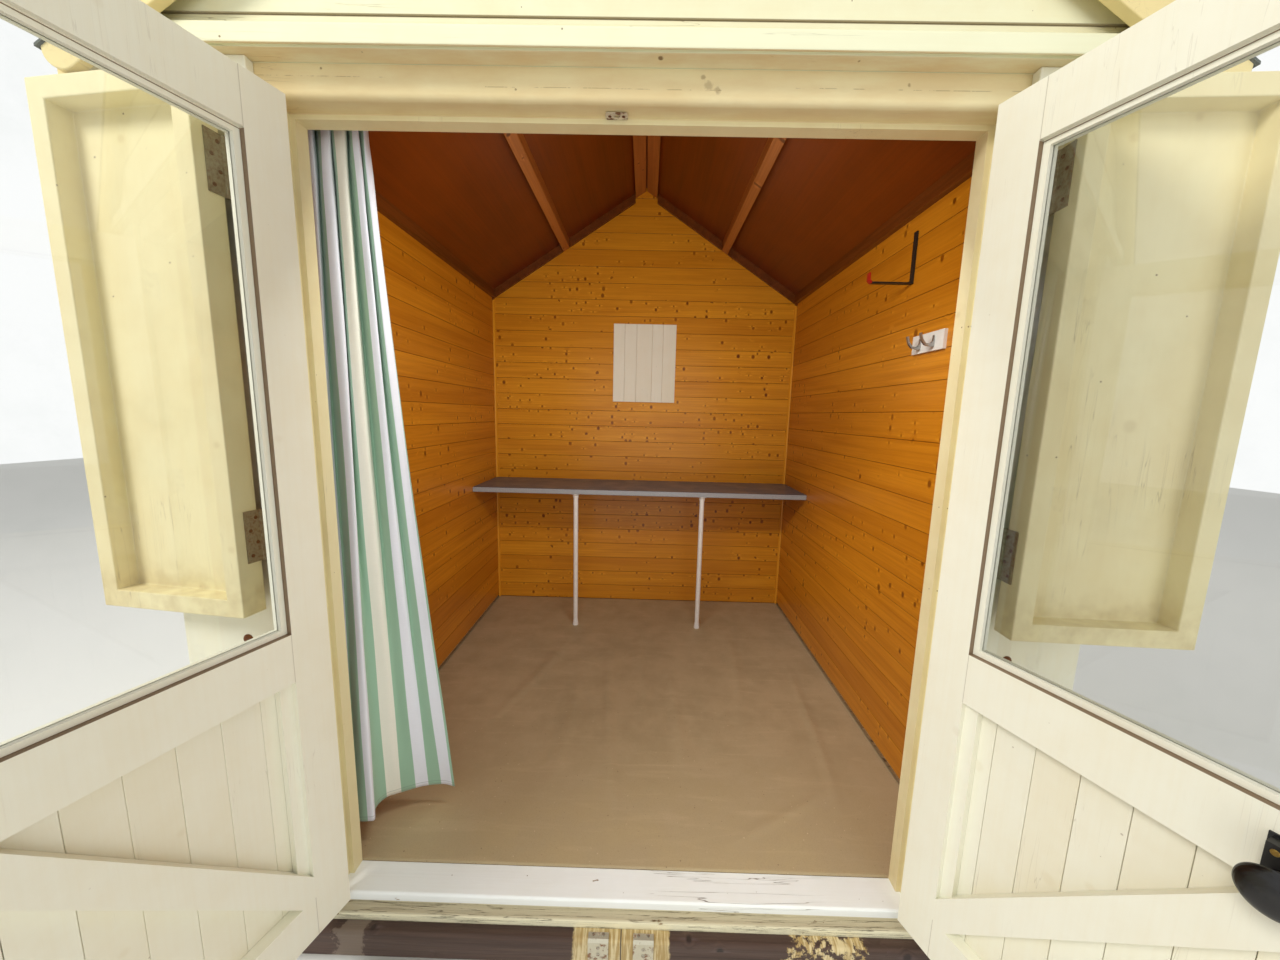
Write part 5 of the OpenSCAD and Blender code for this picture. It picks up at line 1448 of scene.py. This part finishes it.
shutterFrames = {
    "left": {"pin": (-0.7873, -1.0275), "lean": 7.5, "side": -1},
    "right": {"pin": (0.7873, -1.0275), "lean": -3.0, "side": 1},
}


def shutterPoint(values, r, t, z):
    # r from the hinge along the shutter, t out of its back plane
    lean = math.radians(values["lean"])
    x = values["pin"][0] + values["side"] * (r * math.cos(lean) + t * math.sin(lean))
    y = values["pin"][1] + r * math.sin(lean) - t * math.cos(lean)
    return Vector((x, y, z))


flapScrews = {
    "feet": (1.070, 1.790),
    "count": 4,
    "first": 0.015,
    "pitch": 0.0265,
    "rows": (0.025, 0.012),
    "radius": 0.0038,
}


def fixShutters(values):
    # four screws in each hinge flap on the shutter's side, set in a zigzag
    found = []
    for shutter in shutterFrames.values():
        lean = math.radians(shutter["lean"])
        facing = Vector((-shutter["side"] * math.cos(lean), -math.sin(lean), 0))
        for foot in values["feet"]:
            for k in range(values["count"]):
                z = foot + values["first"] + values["pitch"] * k
                place = shutterPoint(shutter, -0.0014, values["rows"][k % 2], z)
                found.append((place, facing, values["radius"]))
    setHeads("shutter_hinge_screws", found, "slotted", "rustyScrews", "hut", 5)


fixShutters(flapScrews)

caseScrews = {"r": (0.478, 0.700, 0.590), "z": (0.880, 0.814), "face": 0.0698, "radius": 0.0042}
boardBolts = {"x": (-0.867, 0.853), "y": -1.0005, "z": 0.870, "radius": 0.011}
strapScrews = {
    "x": (-0.055, 0.055),
    "front": {"y": -1.0368, "z": (0.094, 0.112), "facing": (0, -1, 0), "radius": 0.0042},
    "top": {"y": -1.0235, "z": 0.1338, "apart": 0.012, "facing": (0, -0.06, 1), "radius": 0.0036},
}


def fixLock(values):
    # screws of the lock case
    inward = flat(leaves["right"]["inward"])
    found = [(leafPoint("right", r, values["face"], z), inward, values["radius"])
             for r in values["r"] for z in values["z"]]
    setHeads("lock_case_screws", found, "slotted", "brassScrews", "right_door_leaf", 7)


def fixFront(bolts, straps):
    # bolt heads on the front corner boards, and the screws of the straps over the lower sill
    found = [(Vector((x, bolts["y"], bolts["z"])), (0, -1, 0), bolts["radius"]) for x in bolts["x"]]
    setHeads("corner_board_bolts", found, "round", "rustyScrews", "hut", 9)
    front, top = straps["front"], straps["top"]
    found = [(Vector((x, front["y"], z)), front["facing"], front["radius"])
             for x in straps["x"] for z in front["z"]]
    found += [(Vector((x + s * top["apart"], top["y"], top["z"])), top["facing"], top["radius"])
              for x in straps["x"] for s in (-1, 1)]
    setHeads("strap_screws", found, "slotted", "brightScrews", "hut", 11)


fixLock(caseScrews)
fixFront(boardBolts, strapScrews)

feltPlan = {
    "thick": 0.0022,
    "eaves": 1.088,
    "top": 2.7427,
    "laps": (0.60, 1.13),
    "length": 2.118,
    "middle": 0.004,
    "sunk": 0.0004,
    "nails": 27,
    "nailReach": 1.03,
    "nailUp": 0.016,
    "nailRadius": 0.0052,
}


def coverRoof(values):
    # on each slope an upper sheet that laps the lower one, and a strip along the ridge, nailed along their edges
    dice = random.Random(23)
    found = []
    tilt = math.atan(hut["slope"])
    for side in (-1, 1):
        out = Vector((side * math.sin(tilt), 0, math.cos(tilt)))
        upSlope = Vector((-side * math.cos(tilt), 0, math.sin(tilt)))
        turn = Matrix((Vector((0, side, 0)), -out, upSlope)).transposed().to_euler()
        foot = Vector((side * values["eaves"], values["middle"], values["top"] - hut["slope"] * values["eaves"]))
        reach = values["eaves"] / math.cos(tilt)
        for k, start in enumerate(values["laps"]):
            lift = values["thick"] * (k + 0.5) - values["sunk"]
            sheet = {"Count": 1, "Pitch": reach - start, "Gap": 0.0, "Length": values["length"] - 0.004 * k,
                     "Thick": values["thick"], "Start": start, "Foot Bevel": 0.0012, "Foot Step": 0.0012,
                     "Head Bevel": 0.0005, "Head Step": 0.0005, "Uneven": 0.0, "Place": foot + out * lift,
                     "Turn": tuple(turn)}
            name = ("left" if side < 0 else "right") + ("_felt_lap" if k == 0 else "_ridge_felt")
            layBoards(name, sheet, "felt", "hut")
            top = values["thick"] * (k + 1) - values["sunk"]
            place = foot + upSlope * (start + values["nailUp"]) + out * top
            for i in range(values["nails"]):
                along = -values["nailReach"] + 2 * values["nailReach"] * i / (values["nails"] - 1)
                y = along + dice.uniform(-0.006, 0.006)
                found.append((Vector((place.x, y, place.z)), out, values["nailRadius"]))
    setHeads("felt_nails", found, "round", "brightScrews", "hut", 25)


coverRoof(feltPlan)

keepPlate = {
    "middle": (-0.045, -0.9455, 1.9945),
    "size": (0.046, 0.021, 0.0014),
    "hole": 0.0050,
    "sides": 20,
    "screwPlace": 0.014,
    "screwRadius": 0.0034,
}


def makeKeepPlate(values):
    # the plate under the head that takes the door bolt: a hole in the middle, a screw at each end
    made = bmesh.new()
    mx, my, mz = values["middle"]
    sx, sy, sz = values["size"]
    count = values["sides"]
    rings = []
    for z in (mz + sz / 2, mz - sz / 2):
        outer, inner = [], []
        for k in range(count):
            angle = 2 * math.pi * (k + 0.5) / count
            c, s = math.cos(angle), math.sin(angle)
            reach = min(sx / 2 / max(abs(c), 1e-6), sy / 2 / max(abs(s), 1e-6))
            outer.append(made.verts.new((mx + c * reach, my + s * reach, z)))
            inner.append(made.verts.new((mx + c * values["hole"], my + s * values["hole"], z)))
        rings.append((outer, inner))
    (outerTop, innerTop), (outerLow, innerLow) = rings
    for k in range(count):
        n = (k + 1) % count
        made.faces.new((outerTop[k], outerTop[n], innerTop[n], innerTop[k]))
        made.faces.new((outerLow[n], outerLow[k], innerLow[k], innerLow[n]))
        made.faces.new((outerLow[k], outerLow[n], outerTop[n], outerTop[k]))
        made.faces.new((innerLow[n], innerLow[k], innerTop[k], innerTop[n]))
    bmesh.ops.recalc_face_normals(made, faces=made.faces)
    meshPiece("bolt_keep_plate", made, materials["doorHinges"], "hut")
    places = [Vector((mx + side * values["screwPlace"], my, mz - sz / 2 + 0.0003)) for side in (-1, 1)]
    screws = [(place, (0, 0, -1), values["screwRadius"]) for place in places]
    setHeads("keep_plate_screws", screws, "slotted", "rustyScrews", "hut", 29)


makeKeepPlate(keepPlate)

claddingNails = {
    "up": 0.030,
    "sunk": 0.0006,
    "radius": 0.0026,
    "sideRows": 16,
    "sidePosts": (-0.86, -0.44, 0.0, 0.44, 0.82),
    "backRows": 20,
    "backPosts": (-0.86, -0.43, 0.0, 0.43, 0.86),
    "roofClear": 0.06,
}


def nailOutside(values):
    # a nail where each board of the sides and the back crosses a post
    dice = random.Random(17)
    found = []
    pitch, start = cladding["pitch"], cladding["start"]
    sideFace = hut["wallOut"] + cladding["thick"] - values["sunk"]
    backFace = hut["wallDeep"] + cladding["thick"] - values["sunk"]
    for side in (-1, 1):
        for k in range(values["sideRows"]):
            for post in values["sidePosts"]:
                z = start + pitch * k + values["up"] + dice.uniform(-0.003, 0.003)
                y = post + dice.uniform(-0.004, 0.004)
                found.append((Vector((side * sideFace, y, z)), (side, 0, 0), values["radius"]))
    for k in range(values["backRows"]):
        z = start + pitch * k + values["up"]
        for post in values["backPosts"]:
            if abs(post) < (hut["ridge"] - z) / hut["slope"] - values["roofClear"]:
                x = post + dice.uniform(-0.004, 0.004)
                found.append((Vector((x, backFace, z)), (0, 1, 0), values["radius"]))
    setHeads("cladding_nails", found, "round", "paintedNails", "hut", 19)


nailOutside(claddingNails)
for pattern in heads.values():
    bpy.data.objects.remove(pattern)
print("screws, bolts and nails set")

studio = {
    "half": 14,
    "level": -0.001,
    "floor": (0.90, 0.89, 0.87, 1),
    "air": (0.99, 0.99, 0.965, 1),
    "strength": 0.52,
}


def makeStudio(values):
    # a pale floor, soft light all round, and white paper behind the hut
    mesh = bpy.data.meshes.new("studioFloor")
    half, level = values["half"], values["level"]
    corners = [(-half, -half, level), (half, -half, level), (half, half, level), (-half, half, level)]
    mesh.from_pydata(corners, [], [(0, 1, 2, 3)])
    ground = bpy.data.objects.new("studioFloor", mesh)
    scene.collection.objects.link(ground)
    mesh.materials.append(newMaterial("paleFloor", {"Roughness": 0.9, "Base Color": values["floor"]})[0])
    world = bpy.data.worlds.new("studio")
    scene.world = world
    world.use_nodes = True
    tree = world.node_tree
    ambient = tree.nodes["Background"]
    ambient.inputs[0].default_value = values["air"]
    ambient.inputs[1].default_value = values["strength"]
    paper = addNode(tree, "ShaderNodeBackground", {0: (1, 1, 1, 1), 1: 1.0})
    rays = addNode(tree, "ShaderNodeLightPath").outputs
    mirrored = calc(tree, "MAXIMUM", rays["Is Glossy Ray"], rays["Is Transmission Ray"])
    seen = calc(tree, "MAXIMUM", rays["Is Camera Ray"], mirrored)
    mixed = addNode(tree, "ShaderNodeMixShader", {0: seen, 1: ambient.outputs[0], 2: paper.outputs[0]})
    join(tree, mixed.outputs[0], tree.nodes["World Output"].inputs[0])


lamps = {
    "key": {"place": (-3.0, -3.9, 4.7), "aim": (0.2, -0.4, 1.0), "size": (1.6, 1.6), "power": 182,
            "color": (1.0, 0.985, 0.95)},
    "fill": {"place": (1.8, -4.8, 2.2), "aim": (0.0, 0.0, 1.1), "size": (3.0, 3.0), "power": 44,
             "color": (0.98, 0.99, 0.99)},
    "back": {"place": (-1.5, 5.0, 4.0), "aim": (0.0, 0.0, 1.2), "size": (3.0, 3.0), "power": 60,
             "color": (1.0, 1.0, 1.0)},
    # daylight that comes in through the doorway and lights the room
    "room": {"place": (0.05, -0.85, 1.93), "aim": (0.0, 0.75, 0.95), "size": (0.9, 0.14), "power": 12,
             "color": (1.0, 0.98, 0.94)},
}


def makeLamps(values):
    # large soft lamps that no camera, mirror or pane shows
    for name, lamp in values.items():
        light = bpy.data.lights.new(name, "AREA")
        light.shape = "RECTANGLE"
        light.size, light.size_y = lamp["size"]
        light.energy = lamp["power"]
        light.color = lamp["color"]
        holder = bpy.data.objects.new(name, light)
        scene.collection.objects.link(holder)
        holder.location = lamp["place"]
        holder.visible_camera = holder.visible_glossy = holder.visible_transmission = False
        aim = Vector(lamp["aim"]) - Vector(lamp["place"])
        holder.rotation_mode = "QUATERNION"
        holder.rotation_quaternion = aim.to_track_quat("-Z", "Y")


makeStudio(studio)
makeLamps(lamps)
print("studio lit")
